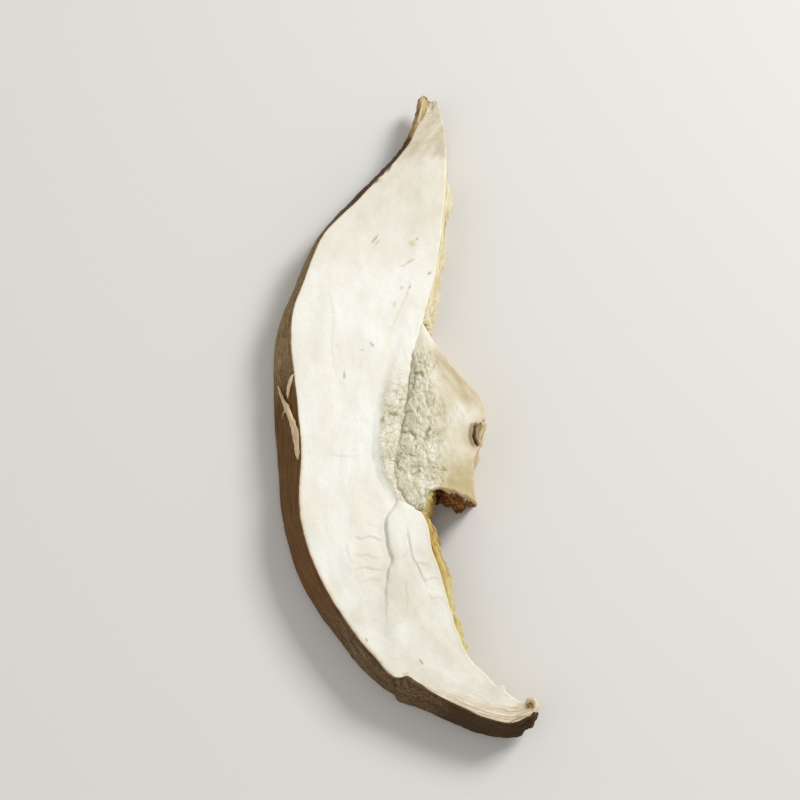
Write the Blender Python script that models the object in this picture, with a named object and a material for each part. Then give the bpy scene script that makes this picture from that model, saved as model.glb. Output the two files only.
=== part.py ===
"""One dried shiitake slice: a cut through the cap and the stump of its stem, lying on its lower cut face.

The long way of the slice is Y, its cut faces look up and down, and the cap's skin is on its -X side.
Sizes are in millimetres, and turn into metres where a mesh is made. A "share" runs from 0 to 1: along the
cap from its upper tip to its lower one, along the stem from the cap to its cut end, or across either.
"""

import bmesh
import bpy
import numpy as np
from mathutils import Vector

MM = 0.001

# Driving dimensions.
SLICE_THICKNESS = 5.2
SKIN_OVERHANG = 3.2
GILL_COUNT = 6
GILL_THICKNESS = 0.4
GILL_DEPTH = 1.3
STEP_HEIGHT = 0.8
STEM_GAP = 0.3
STEM_LIFT = 0.3
END_ROUNDING = 0.5

# How finely the two solids are divided.
CAP_STATIONS = 62
STEM_STATIONS = 24
STEM_ROWS = 10

# Upper cut face of the cap, from the upper tip to the lower one. Each pair is one rib across the slice.
SKIN_EDGE = (
    (2.9, 42.0), (2.3, 38.1), (0.5, 33.4), (-4.1, 27.6), (-7.6, 23.6), (-9.9, 20.4), (-12.0, 15.2),
    (-13.4, 10.8), (-13.6, 6.6), (-13.1, 1.9), (-12.5, -2.9), (-12.1, -8.5), (-12.3, -13.3),
    (-11.8, -18.0), (-10.2, -22.8), (-7.6, -27.8), (-5.3, -31.2), (-3.0, -34.0), (-0.4, -36.2),
    (2.9, -37.9), (6.2, -39.6), (9.7, -41.2), (13.2, -42.0), (15.2, -41.3),
)
GILL_EDGE = (
    (5.3, 41.7), (5.8, 38.4), (6.0, 34.6), (6.0, 30.4), (5.7, 25.9), (5.3, 22.0), (4.6, 16.7),
    (3.7, 12.3), (2.7, 9.0), (1.6, 4.6), (1.1, 0.0), (0.1, -6.2), (-0.6, -10.6),
    (0.6, -14.1), (3.0, -16.6), (4.2, -21.4), (5.7, -26.4), (7.0, -31.0), (8.3, -34.0),
    (10.6, -36.4), (12.0, -37.6), (13.2, -38.6), (14.4, -39.4), (15.7, -39.6),
)

# What changes along the cap, as (share, value). Heights are in slice thicknesses.
TOP_HEIGHT = ((0.0, 0.78), (0.09, 0.88), (0.2, 1.0), (0.85, 1.03), (0.94, 0.96), (1.0, 1.06))
BASE_HEIGHT = ((0.0, 0.32), (0.1, 0.06), (0.17, 0.0), (0.87, 0.0), (0.95, 0.1), (1.0, 0.36))
MARGIN_ROLL = ((0.0, 0.16), (0.045, 0.16), (0.08, 0.0), (1.0, 0.0))
MARGIN_ROLL_WIDTH = 0.33

# How far the skin spreads past the upper edge, in skin overhangs.
SKIN_SPREAD = (
    (0.0, 0.12), (0.14, 0.68), (0.26, 0.5), (0.45, 1.0), (0.58, 0.6), (0.7, 0.38), (0.88, 0.24), (1.0, 0.12),
)
SKIN_FOOT = 0.8

# How far the gills' root leans out below the upper edge, and how far they reach past it, in gill depths.
GILL_LEAN = (
    (0.0, 0.1), (0.2, 0.35), (0.3, 0.25), (0.345, 0.0), (0.6, 0.0), (0.64, 0.55), (0.76, 0.5), (0.86, 0.1),
    (1.0, 0.1),
)
GILL_REACH = (
    (0.0, 0.0), (0.1, 0.35), (0.17, 0.75), (0.3, 0.6), (0.34, 0.0), (0.6, 0.0), (0.64, 0.85), (0.74, 1.0),
    (0.81, 0.4), (0.85, 0.0), (1.0, 0.0),
)
GILL_WAVES = 15
GILL_WAVE_SIZE = 0.15

# The step in the upper face beside the stem and below it: its place across, rise and width.
STEP_PLACE = (
    (0.0, 0.9), (0.35, 0.93), (0.39, 0.84), (0.44, 0.78), (0.5, 0.79), (0.565, 0.87), (0.61, 0.64),
    (0.65, 0.53), (0.7, 0.36), (0.75, 0.26), (0.8, 0.3), (1.0, 0.5),
)
STEP_RISE = (
    (0.0, 0.0), (0.34, 0.0), (0.4, 0.6), (0.55, 0.7), (0.6, 1.0), (0.7, 0.8), (0.78, 0.0), (1.0, 0.0),
)
STEP_WIDTH = ((0.0, 0.1), (0.5, 0.1), (0.58, 0.04), (1.0, 0.04))

# The stem stump: the stretch of the cap that it joins, its outer edge, and the arch of its cut end.
STEM_SPAN = (0.352, 0.592)
STEM_EDGE = (
    (3.5, 8.9), (4.5, 6.3), (6.0, 4.0), (8.0, 1.4), (9.8, -0.8), (10.6, -3.5), (9.4, -4.9),
    (10.0, -6.9), (9.2, -9.0), (9.0, -11.9), (9.4, -14.8),
)
STEM_TOP = 5.75
STEM_CROWN = 0.45
STEM_DENT_SHARE = (0.62, 0.72)
STEM_DENT_RADIUS = 0.13
STEM_DENT_DEPTH = 0.5
ARCH_RISE = ((0.0, 0.0), (0.12, 0.0), (0.22, 2.1), (0.38, 2.4), (0.6, 1.9), (0.8, 1.0), (1.0, 0.0))
ARCH_START = 0.5
OUTER_SPREAD = 0.25
CUT_END_SPREAD = 0.6
CUT_END_START = 0.8

# Faces of the cap and of the stem take their material by these numbers.
FLESH, SKIN, GILLS = range(3)
STEM_FLESH, STEM_CUT_END = range(2)


def clear_scene():
    for thing in list(bpy.data.objects):
        bpy.data.objects.remove(thing, do_unlink=True)


def curve_through(points, share):
    """Points of a smooth curve that passes the listed ones at equal steps of the share."""
    points = np.asarray(points, float)
    steps = len(points) - 1
    place = np.clip(share, 0, 1) * steps
    index = np.minimum(place.astype(int), steps - 1)
    t = (place - index)[:, None]
    before = points[np.maximum(index - 1, 0)]
    first = points[index]
    second = points[index + 1]
    after = points[np.minimum(index + 2, steps)]
    bend = 2 * before - 5 * first + 4 * second - after
    twist = 3 * first - before - 3 * second + after
    return first + 0.5 * ((second - before) * t + bend * t**2 + twist * t**3)


def smooth_step(t):
    t = np.clip(t, 0, 1)
    return t * t * (3 - 2 * t)


def eased(stops, share):
    """A value that eases from stop to stop, where each stop is (share, value)."""
    places, values = np.transpose(stops)
    index = np.clip(np.searchsorted(places, share, side="right") - 1, 0, len(places) - 2)
    t = (share - places[index]) / (places[index + 1] - places[index])
    return values[index] + (values[index + 1] - values[index]) * smooth_step(t)


def outward(curve, other):
    """Unit directions in plan, square to the curve at each point and away from the other curve."""
    along = np.gradient(curve, axis=0)
    square = np.stack([along[:, 1], -along[:, 0]], axis=1)
    square /= np.linalg.norm(square, axis=1, keepdims=True)
    side = np.sign(np.sum(square * (curve - other), axis=1, keepdims=True))
    return square * side


def upper_face(share, skin, gill):
    """Rows of the cap's upper face from skin to gills, closer together at the step."""
    rim = 0.06
    width = eased(STEP_WIDTH, share)
    start = eased(STEP_PLACE, share) - width / 2
    end = start + width
    before_step = [rim + (start - rim) * part for part in (0, 0.35, 0.7, 1)]
    past_step = [end + (1 - end) * part for part in (0, 0.5, 1)]
    rows = []
    for across in (0 * share, *before_step, (start + end) / 2, *past_step):
        roll = eased(MARGIN_ROLL, share) * np.clip(1 - across / MARGIN_ROLL_WIDTH, 0, 1)
        step = STEP_HEIGHT * eased(STEP_RISE, share) * smooth_step((across - start) / width)
        height = SLICE_THICKNESS * (eased(TOP_HEIGHT, share) + roll) + step
        rows.append(np.column_stack([skin + (gill - skin) * across[:, None], height]))
    return rows


def gill_side(share, gill, out, top):
    """Rows down the gill side: the gills stand out as ridges along the slice, one below another."""
    base = SLICE_THICKNESS * eased(BASE_HEIGHT, share)
    lean = GILL_DEPTH * eased(GILL_LEAN, share)
    reach = GILL_DEPTH * eased(GILL_REACH, share)
    pitch = (top - base) / (GILL_COUNT + 0.6)
    thickness = GILL_THICKNESS * (top - base) / SLICE_THICKNESS
    rows = []
    for number in range(GILL_COUNT):
        middle = top - pitch * (number + 0.8)
        wave = 1 - GILL_WAVE_SIZE * (1 + np.sin(2 * np.pi * GILL_WAVES * share + 2.1 * number))
        for away, depth in ((0.6, 0), (0.4, 1), (-0.4, 1), (-0.6, 0)):
            height = middle + thickness * away
            offset = lean * (top - height) / (top - base) + reach * wave * depth
            rows.append(np.column_stack([gill + out * offset[:, None], height]))
    return rows


def lower_face(share, skin, gill, skin_out, gill_out):
    """Rows of the cap's lower cut face from gills to skin. It is flat but for the two tips."""
    base = SLICE_THICKNESS * eased(BASE_HEIGHT, share)
    skin_foot = skin + skin_out * (SKIN_FOOT * SKIN_OVERHANG * eased(SKIN_SPREAD, share))[:, None]
    gill_foot = gill + gill_out * (GILL_DEPTH * eased(GILL_LEAN, share))[:, None]
    rows = []
    for across in np.linspace(0, 1, 5):
        rows.append(np.column_stack([gill_foot + (skin_foot - gill_foot) * across, base]))
    return rows


def skin_side(share, skin, out, top):
    """Rows up the skin side, which spreads out below the upper edge and tucks in at its foot."""
    base = SLICE_THICKNESS * eased(BASE_HEIGHT, share)
    spread = SKIN_OVERHANG * eased(SKIN_SPREAD, share)
    rows = []
    for fall in (0.93, 0.78, 0.58, 0.38, 0.18):
        bulge = 0.45 * fall + 0.55 * np.sin(fall * np.pi / 2)
        height = top + (base - top) * fall
        rows.append(np.column_stack([skin + out * (spread * bulge)[:, None], height]))
    return rows


def cap_rings():
    """The cap's sections from tip to tip, as (station, place round it, xyz), and each place's material."""
    share = np.linspace(0, 1, CAP_STATIONS)
    skin = curve_through(SKIN_EDGE, share)
    gill = curve_through(GILL_EDGE, share)
    skin_out = outward(skin, gill)
    gill_out = outward(gill, skin)
    upper = upper_face(share, skin, gill)
    gills = gill_side(share, gill, gill_out, upper[-1][:, 2])
    lower = lower_face(share, skin, gill, skin_out, gill_out)
    side = skin_side(share, skin, skin_out, upper[0][:, 2])
    materials = [FLESH] * (len(upper) - 1) + [GILLS] * (len(gills) + 1)
    materials += [FLESH] * (len(lower) - 1) + [SKIN] * (len(side) + 1)
    return np.stack(upper + gills + lower + side, axis=1), materials


def rounded_end(ring, neighbour):
    """Two smaller rings past an end ring, and the point that closes it."""
    centre = ring.mean(axis=0)
    past = centre - neighbour.mean(axis=0)
    past *= END_ROUNDING / np.linalg.norm(past)
    rings = [centre + (ring - centre) * size + past * reach for size, reach in ((0.9, 0.45), (0.62, 0.85))]
    return rings, centre + past


def add_material(thing, name, colour, roughness):
    material = bpy.data.materials.new(name)
    material.use_nodes = True
    shader = material.node_tree.nodes["Principled BSDF"]
    shader.inputs["Base Color"].default_value = (*colour, 1.0)
    shader.inputs["Roughness"].default_value = roughness
    shader.inputs["Metallic"].default_value = 0.0
    material.diffuse_color = (*colour, 1.0)
    thing.data.materials.append(material)


def make_object(name, mesh):
    bmesh.ops.recalc_face_normals(mesh, faces=mesh.faces[:])
    data = bpy.data.meshes.new(name)
    mesh.to_mesh(data)
    mesh.free()
    thing = bpy.data.objects.new(name, data)
    bpy.context.scene.collection.objects.link(thing)
    data.shade_smooth()
    data.set_sharp_from_angle(angle=np.radians(40))
    return thing


def make_cap():
    rings, materials = cap_rings()
    upper_rings, upper_point = rounded_end(rings[0], rings[1])
    lower_rings, lower_point = rounded_end(rings[-1], rings[-2])
    mesh = bmesh.new()
    loops = []
    for ring in (*reversed(upper_rings), *rings, *lower_rings):
        loops.append([mesh.verts.new(point * MM) for point in ring])
    places = range(len(materials))
    for first, second in zip(loops, loops[1:]):
        for place in places:
            corners = (first[place - 1], first[place], second[place], second[place - 1])
            mesh.faces.new(corners).material_index = materials[place - 1]
    for loop, point in ((loops[0], upper_point), (loops[-1], lower_point)):
        tip = mesh.verts.new(point * MM)
        for place in places:
            mesh.faces.new((loop[place - 1], loop[place], tip)).material_index = SKIN
    cap = make_object("cap", mesh)
    add_material(cap, "flesh", (0.86, 0.82, 0.70), 0.75)
    add_material(cap, "skin", (0.10, 0.055, 0.028), 0.6)
    add_material(cap, "gills", (0.62, 0.44, 0.16), 0.7)
    return cap


def stem_plan(station, across):
    """The stem's upper face in plan, as (station, row, xy). Rows run from the cap to the outer edge."""
    share = STEM_SPAN[0] + (STEM_SPAN[1] - STEM_SPAN[0]) * station
    gill = curve_through(GILL_EDGE, share)
    joint = gill + outward(gill, curve_through(SKIN_EDGE, share)) * STEM_GAP
    edge = curve_through(STEM_EDGE, station)
    plan = joint[:, None] + (edge - joint)[:, None] * across[None, :, None]
    arch = np.clip((station - ARCH_START) / (1 - ARCH_START), 0, 1) ** 2
    plan[..., 1] += arch[:, None] * eased(ARCH_RISE, across)[None]
    return plan


def stem_top(plan, station, across):
    """The stem's upper face: a low crown with one soft dent."""
    station, across = np.meshgrid(station, across, indexing="ij")
    crown = STEM_CROWN * np.sin(np.pi * across) * np.sin(np.pi * station)
    from_dent = np.hypot(station - STEM_DENT_SHARE[0], across - STEM_DENT_SHARE[1])
    dent = STEM_DENT_DEPTH * np.exp(-((from_dent / STEM_DENT_RADIUS) ** 2))
    return np.dstack([plan, STEM_TOP + crown - dent])


def stem_foot(plan, station, across):
    """The stem's lower face. Its outer side and its cut end spread out, and its cap side stays upright."""
    foot = plan.copy()
    foot[..., 0] += OUTER_SPREAD * across[None] ** 2 * np.clip(station * 5, 0, 1)[:, None]
    near_end = np.clip((station - CUT_END_START) / (1 - CUT_END_START), 0, 1) ** 2
    foot[..., 1] -= CUT_END_SPREAD * near_end[:, None] * np.clip(across[None] * 4, 0, 1)
    return np.dstack([foot, np.full(plan.shape[:2], STEM_LIFT)])


def stem_rim():
    """The (station, row) places round the edge of the stem's grid, once round."""
    last_station = STEM_STATIONS - 1
    last_row = STEM_ROWS - 1
    rim = [(0, row) for row in range(last_row)]
    rim += [(station, last_row) for station in range(last_station)]
    rim += [(last_station, row) for row in range(last_row, 0, -1)]
    rim += [(station, 0) for station in range(last_station, 0, -1)]
    return rim


def make_stem():
    station = np.linspace(0, 1, STEM_STATIONS)
    across = np.linspace(0, 1, STEM_ROWS)
    plan = stem_plan(station, across)
    mesh = bmesh.new()
    layers = []
    for points in (stem_top(plan, station, across), stem_foot(plan, station, across)):
        layer = [[mesh.verts.new(point * MM) for point in row] for row in points]
        for first, second in zip(layer, layer[1:]):
            for row in range(1, STEM_ROWS):
                mesh.faces.new((first[row - 1], first[row], second[row], second[row - 1]))
        layers.append(layer)
    rim = stem_rim()
    upper, lower = ([layer[station][row] for station, row in rim] for layer in layers)
    middle = [mesh.verts.new(above.co.lerp(below.co, 0.55)) for above, below in zip(upper, lower)]
    for first, second in ((upper, middle), (middle, lower)):
        for place, (station_here, _) in enumerate(rim):
            corners = (first[place - 1], first[place], second[place], second[place - 1])
            at_cut_end = station_here == rim[place - 1][0] == STEM_STATIONS - 1
            mesh.faces.new(corners).material_index = STEM_CUT_END if at_cut_end else STEM_FLESH
    stem = make_object("stem", mesh)
    add_material(stem, "stem_flesh", (0.74, 0.66, 0.47), 0.8)
    add_material(stem, "stem_cut_end", (0.14, 0.07, 0.03), 0.85)
    return stem


def centre_on_origin(things):
    """Moves the meshes so that the middle of the base of their common box is the origin."""
    corners = np.array([vertex.co for thing in things for vertex in thing.data.vertices])
    low, high = corners.min(axis=0), corners.max(axis=0)
    middle = (low + high) / 2
    shift = Vector((middle[0], middle[1], low[2]))
    for thing in things:
        for vertex in thing.data.vertices:
            vertex.co -= shift


clear_scene()
centre_on_origin([make_cap(), make_stem()])
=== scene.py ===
"""The looks of one dried shiitake slice: white flesh, dark skin, yellow gills and a torn stump of stem.

The cap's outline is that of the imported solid, and the other sizes are close to the solids'. Lengths are in
millimetres, in the coordinates that the outlines are drawn in, until a mesh is made in the frame's metres. A
"share" runs from 0 to 1: along the cap from its upper tip to its lower one, along the stem from its upper
side to its cut end, or across either.
"""

from itertools import product

import bpy
import numpy as np
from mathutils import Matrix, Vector


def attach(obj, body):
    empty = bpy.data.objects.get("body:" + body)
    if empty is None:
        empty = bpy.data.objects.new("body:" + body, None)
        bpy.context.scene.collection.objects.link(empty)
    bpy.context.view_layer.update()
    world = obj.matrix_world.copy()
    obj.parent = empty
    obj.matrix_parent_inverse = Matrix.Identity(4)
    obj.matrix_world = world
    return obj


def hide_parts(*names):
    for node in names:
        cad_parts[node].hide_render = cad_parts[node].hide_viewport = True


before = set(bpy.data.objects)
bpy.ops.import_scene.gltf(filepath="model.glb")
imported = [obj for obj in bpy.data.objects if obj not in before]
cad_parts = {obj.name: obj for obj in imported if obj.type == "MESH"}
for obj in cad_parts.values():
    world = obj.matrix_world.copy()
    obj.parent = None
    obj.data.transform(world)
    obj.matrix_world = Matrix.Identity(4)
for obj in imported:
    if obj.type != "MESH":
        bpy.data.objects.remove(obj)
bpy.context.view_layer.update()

MM = 0.001

# The frame's origin in the coordinates of the outlines. It lies below the middle of the solids' box.
BOX_MIDDLE = (0.0797, -0.056, 0.0)

# The driving dimensions, as in the solids.
SLICE_THICKNESS = 5.2
SKIN_OVERHANG = 3.2
SKIN_FOOT = 0.8
GILL_DEPTH = 1.3
STEP_HEIGHT = 0.8
END_ROUNDING = 0.5

# Upper cut face of the cap, from the upper tip to the lower one. Each pair is one rib across the slice.
SKIN_EDGE = (
    (2.9, 42.0), (2.3, 38.1), (0.5, 33.4), (-4.1, 27.6), (-7.6, 23.6), (-9.9, 20.4), (-12.0, 15.2),
    (-13.4, 10.8), (-13.6, 6.6), (-13.1, 1.9), (-12.5, -2.9), (-12.1, -8.5), (-12.3, -13.3),
    (-11.8, -18.0), (-10.2, -22.8), (-7.6, -27.8), (-5.3, -31.2), (-3.0, -34.0), (-0.4, -36.2),
    (2.9, -37.9), (6.2, -39.6), (9.7, -41.2), (13.2, -42.0), (15.2, -41.3),
)
GILL_EDGE = (
    (5.3, 41.7), (5.8, 38.4), (6.0, 34.6), (6.0, 30.4), (5.7, 25.9), (5.3, 22.0), (4.6, 16.7),
    (3.7, 12.3), (2.7, 9.0), (1.6, 4.6), (1.1, 0.0), (0.1, -6.2), (-0.6, -10.6),
    (0.6, -14.1), (3.0, -16.6), (4.2, -21.4), (5.7, -26.4), (7.0, -31.0), (8.3, -34.0),
    (10.6, -36.4), (12.0, -37.6), (13.2, -38.6), (14.4, -39.4), (15.7, -39.6),
)

# What changes along the cap, as (share, value). Before the first stop and after the last it stays the same.
# Heights are in slice thicknesses.
TOP_HEIGHT = ((0.0, 0.71), (0.014, 0.78), (0.09, 0.88), (0.2, 1.0), (0.85, 1.03), (0.94, 0.96), (1.0, 1.06))
BASE_HEIGHT = ((0.0, 0.44), (0.018, 0.3), (0.1, 0.06), (0.17, 0.0), (0.87, 0.0), (0.95, 0.1), (1.0, 0.36))
MARGIN_ROLL = ((0.0, 0.14), (0.03, 0.13), (0.06, 0.0))
MARGIN_ROLL_WIDTH = 0.3
MARGIN_ROLL_END = 0.044
TIP_SHAPE = (
    (0.0, 0.7), (0.14, 0.45), (0.3, 0.7), (0.43, 1.35), (0.54, 1.3), (0.7, 0.5), (0.82, 0.25), (1.0, 0.8),
)
TIP_SHAPE_LENGTH = 3.2
TIP_SHAPE_RIB = 8
SKIN_SPREAD = (
    (0.0, 0.12), (0.14, 0.68), (0.26, 0.5), (0.45, 1.0), (0.58, 0.6), (0.7, 0.38), (0.88, 0.24), (1.0, 0.12),
)
GILL_LEAN = (
    (0.0, 0.1), (0.2, 0.3), (0.3, 0.25), (0.345, 0.0), (0.6, 0.0), (0.64, 0.45), (0.76, 0.3), (0.86, 0.05),
)
GILL_REACH = (
    (0.0, 0.0), (0.1, 0.05), (0.133, 0.15), (0.15, 0.9), (0.172, 0.8), (0.184, 0.25), (0.217, 0.3),
    (0.226, 0.6), (0.236, 0.75), (0.247, 0.4), (0.275, 0.75), (0.3, 0.9), (0.325, 0.85), (0.334, 1.1),
    (0.345, 0.0), (0.6, 0.0), (0.606, 0.8), (0.635, 1.15), (0.652, 1.2), (0.668, 1.4), (0.68, 1.2),
    (0.696, 0.9), (0.714, 0.55), (0.722, 0.95), (0.735, 0.9), (0.744, 0.45), (0.752, 0.7), (0.762, 0.35),
    (0.79, 0.12), (0.86, 0.08), (0.93, 0.06), (0.96, 0.0),
)

# How much farther out the scene's edges reach than the solid's: the skin's upper rim and the gill side.
SKIN_EDGE_SHIFT = (
    (0.0, 0.0), (0.06, 0.05), (0.1, 0.4), (0.2, 0.4), (0.27, 0.0), (0.735, 0.0), (0.786, 0.38),
    (0.7945, -0.2), (0.85, 0.0),
)
GILL_EDGE_SHIFT = (
    (0.0, 0.0), (0.035, -0.2), (0.08, 0.0), (0.82, 0.0), (0.862, -0.22), (0.8665, 0.32), (0.895, -0.05),
    (0.93, 0.0),
)

# The step in the upper face: its line beside the stem and below it, its rise, and its width in millimetres.
STEP_LINE = (
    (0.5, 8.0), (-0.3, 5.9), (-0.9, 3.6), (-1.7, 1.2), (-2.2, -1.7), (-2.5, -4.6), (-2.6, -7.5),
    (-2.3, -9.6), (-1.6, -11.9), (-0.3, -14.0), (-0.4, -14.9), (-1.1, -15.9), (-1.5, -17.2),
    (-1.4, -18.9), (-1.1, -20.8), (-0.7, -21.9), (-1.2, -23.0), (-1.4, -24.5), (-1.5, -26.3),
    (-1.2, -32.0), (0.4, -36.3),
)
STEP_RISE = ((0.34, 0.0), (0.4, 0.36), (0.55, 0.42), (0.6, 0.7), (0.7, 0.5), (0.78, 0.0))
STEP_WIDTH = ((0.4, 1.3), (0.54, 1.1), (0.585, 2.4), (0.71, 3.0), (0.8, 3.4))
STEP_CRISP = ((0.55, 0.0), (0.572, 0.5), (0.63, 0.45), (0.66, 0.3), (0.72, 0.0))
STEP_CRISP_WIDTH = 0.3
CREASE_STRENGTH = ((0.372, 0.0), (0.4, 0.85), (0.46, 0.9), (0.5, 0.45), (0.54, 0.5), (0.575, 0.8))

# The stem stump: the stretch of the cap that it joins, its outer edge, and the arch of its cut end.
STEM_SPAN = (0.352, 0.592)
STEM_EDGE = (
    (2.95, 9.3), (4.5, 6.3), (6.0, 4.0), (8.0, 1.4), (9.8, -0.8), (10.6, -3.5), (9.4, -4.9),
    (10.0, -6.9), (9.2, -9.0), (9.0, -11.9), (9.4, -14.8),
)
STEM_TOP = 5.75
STEM_LIFT = 0.25
STEM_CROWN = 0.45
STEM_DENT = (9.0, -6.6)
STEM_DENT_RADIUS = 1.5
STEM_DENT_DEPTH = 0.6
CRACKED_PLACE = (5.6, -3.4)
CRACKED_SIZE = (1.5, 2.0)
ARCH_RISE = ((0.12, 0.0), (0.22, 2.1), (0.38, 2.4), (0.6, 1.9), (0.8, 1.0), (1.0, 0.0))
ARCH_START = 0.5

# How finely the surfaces are divided, in millimetres and rows.
RIB_PITCH = 0.16
UPPER_ROWS = 92
LOWER_ROWS = 34
GILL_WALL_ROWS = 12
SKIN_WALL_ROWS = 10
SKIN_ROWS = 58
INNER_SKIN_ROWS = 9
EDGE_ROWS = (0.0, 0.03, 0.08, 0.15, 0.25)
EDGE_RADIUS = 0.22

# Small folds in the flesh: the line of each and how high it stands on its left as the line runs.
FOLDS = (
    (((-5.6, -18.7), (-4.9, -19.2), (-4.0, -19.0), (-3.3, -18.9), (-2.4, -19.3), (-1.7, -19.3)), 0.10),
    (((-5.6, -21.0), (-4.9, -21.4), (-3.9, -21.3), (-3.2, -21.6), (-2.4, -21.6), (-1.7, -21.4)), 0.08),
    (((-6.0, -23.6), (-5.2, -23.2), (-4.3, -22.9), (-3.6, -22.9), (-2.6, -23.1), (-1.6, -22.9)), 0.10),
    (((-4.8, -24.8), (-4.2, -24.5), (-3.4, -24.3), (-2.6, -24.4), (-1.8, -24.3)), 0.07),
    (((-6.1, -19.6), (-6.3, -20.6), (-5.9, -21.8), (-5.3, -22.7)), 0.06),
    (((-3.9, -17.3), (-3.0, -17.6), (-2.2, -17.5)), 0.05),
    (
        ((0.9, -17.4), (1.1, -18.6), (1.3, -19.6), (1.5, -21.5), (2.1, -22.7), (2.8, -24.3), (3.6, -25.8)),
        0.13,
    ),
    (((1.3, -20.6), (0.6, -21.6), (-0.3, -22.0), (-0.9, -22.4)), 0.09),
    (((2.0, -22.4), (2.6, -22.5), (3.2, -22.6), (3.8, -22.4)), 0.10),
    (((2.7, -24.6), (3.3, -24.6), (4.0, -24.3), (4.8, -24.4)), 0.10),
    (((3.4, -26.2), (4.0, -26.9), (4.8, -26.8), (5.5, -27.4)), 0.08),
    (((1.2, -24.0), (0.8, -25.4), (1.0, -27.2), (0.6, -28.8)), 0.05),
    (((-9.2, 14.5), (-8.2, 10.5), (-8.4, 6.0), (-7.6, 1.5)), 0.05),
    (((-8.6, -8.2), (-6.3, -8.6), (-4.4, -8.3)), 0.05),
    (((1.4, 16.5), (0.9, 13.0), (-0.4, 10.0), (-1.2, 7.2)), 0.06),
)
FOLD_SHARPNESS = 0.13
FOLD_REACH = 0.75

# Ledges in the layered flesh near the lower tip: distance of each from the skin, and share of its start.
LEDGES = ((0.38, 0.79), (0.95, 0.86), (1.7, 0.84), (2.4, 0.91))

# Marks on the flesh by kind: middle, half length, half width, and turn in degrees.
FLESH_MARKS = {
    "dark": (
        ((-6.8, 2.2), 0.6, 0.13, 95), ((-3.4, 6.3), 0.45, 0.16, -55), ((-3.1, 21.0), 0.8, 0.12, 55),
        ((3.8, 16.1), 0.3, 0.17, 70), ((-3.9, -31.9), 0.32, 0.12, -60), ((-7.9, 6.1), 0.12, 0.1, 0),
        ((-4.6, 5.6), 0.12, 0.1, 0), ((1.3, 14.2), 0.3, 0.08, 80), ((2.2, 20.9), 0.3, 0.12, 60),
    ),
    "ochre": (
        ((1.6, 20.3), 0.42, 0.5, 60), ((0.5, 17.2), 0.42, 0.12, 5), ((0.3, 14.1), 0.3, 0.24, 75),
        ((-2.8, 20.5), 0.5, 0.12, 60), ((5.4, -10.6), 0.55, 0.22, 0), ((-2.5, 29.5), 0.5, 0.3, 50),
        ((0.7, -36.1), 0.5, 0.25, 20), ((-0.6, 11.8), 0.45, 0.16, 85), ((1.3, 17.8), 0.8, 0.2, 30),
    ),
    "rust": (
        ((2.6, -34.6), 0.45, 0.16, -55),
    ),
    "spur": (
        ((-2.0, 30.7), 0.8, 0.17, 66), ((-1.3, 31.2), 0.7, 0.15, 60), ((-2.9, 29.4), 0.5, 0.16, 58),
    ),
    # Painted shadow in the hollow under the curled margin.
    "cup": (
        ((15.3, -39.8), 0.75, 0.5, 50),
    ),
}

SKIN_THICKNESS = 0.34
SKIN_THICKNESS_BY_SHARE = ((0.0, 0.75), (0.03, 0.7), (0.06, SKIN_THICKNESS))

# How far the skin stands proud of the cap at its upper rim, and how far its rim lies below the cap's top.
SKIN_PROUD = 0.22
SKIN_BELOW_TOP = 0.07

# How far the skin's foot and the middle of a gill plate stay above the rest face.
LOWEST = 0.01

# How strong two of the flesh's colour facts are at its lower tip.
END_TINTS = {"tan": 0.9, "rind": 0.6}

# Slits in the skin: shares of both ends, part of the way down, slope, and half width as a part of the way.
SKIN_SLITS = (
    (0.352, 0.372, 0.52, -0.10, 0.020), (0.358, 0.368, 0.40, -0.05, 0.014), (0.372, 0.392, 0.5, -0.1, 0.016),
    (0.318, 0.330, 0.30, 0.06, 0.012), (0.333, 0.340, 0.66, 0.0, 0.016), (0.67, 0.70, 0.30, 0.10, 0.012),
    (0.69, 0.715, 0.46, 0.05, 0.014), (0.655, 0.668, 0.55, 0.0, 0.012), (0.705, 0.735, 0.22, 0.08, 0.011),
    (0.27, 0.285, 0.5, 0.0, 0.014), (0.455, 0.462, 0.8, 0.0, 0.012),
)

# Where the skin folds over itself near the lower tip: the fold's place at the rim, how far down it turns, how
# sharply it turns above that and below it, how far down it gapes, and how far the rim is drawn in there.
SKIN_FOLD_PLACE = (-0.75, -36.5)
SKIN_FOLD_DEPTH = 1.4
SKIN_FOLD_TURNS = (1.1, 0.14)
SKIN_FOLD_GAP_DEPTH = 1.9
FOLD_OVERLAP = ((0.787, 0.0), (0.797, 0.34), (0.812, 0.2), (0.845, 0.0))

# Radius of the rounded ends of thin pieces.
THIN_ROUNDING = 0.05


def smooth_step(t):
    t = np.clip(t, 0, 1)
    return t * t * (3 - 2 * t)


def above(value, start, width):
    """0 up to the start, 1 from one width past it, and smooth between."""
    return smooth_step((value - start) / width)


def below(value, end, width):
    """1 until one width before the end, 0 from the end on, and smooth between."""
    return smooth_step((end - value) / width)


def bell(distance, width):
    """1 at no distance, and near 0 from two widths on."""
    return np.exp(-((distance / width) ** 2))


def curve_through(points, share):
    """Points of a smooth curve that passes the listed ones at equal steps of the share."""
    points = np.asarray(points, float)
    steps = len(points) - 1
    place = np.clip(share, 0, 1) * steps
    index = np.minimum(place.astype(int), steps - 1)
    t = (place - index)[:, None]
    before = points[np.maximum(index - 1, 0)]
    first = points[index]
    second = points[index + 1]
    after = points[np.minimum(index + 2, steps)]
    bend = 2 * before - 5 * first + 4 * second - after
    twist = 3 * first - before - 3 * second + after
    return first + 0.5 * ((second - before) * t + bend * t**2 + twist * t**3)


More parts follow.
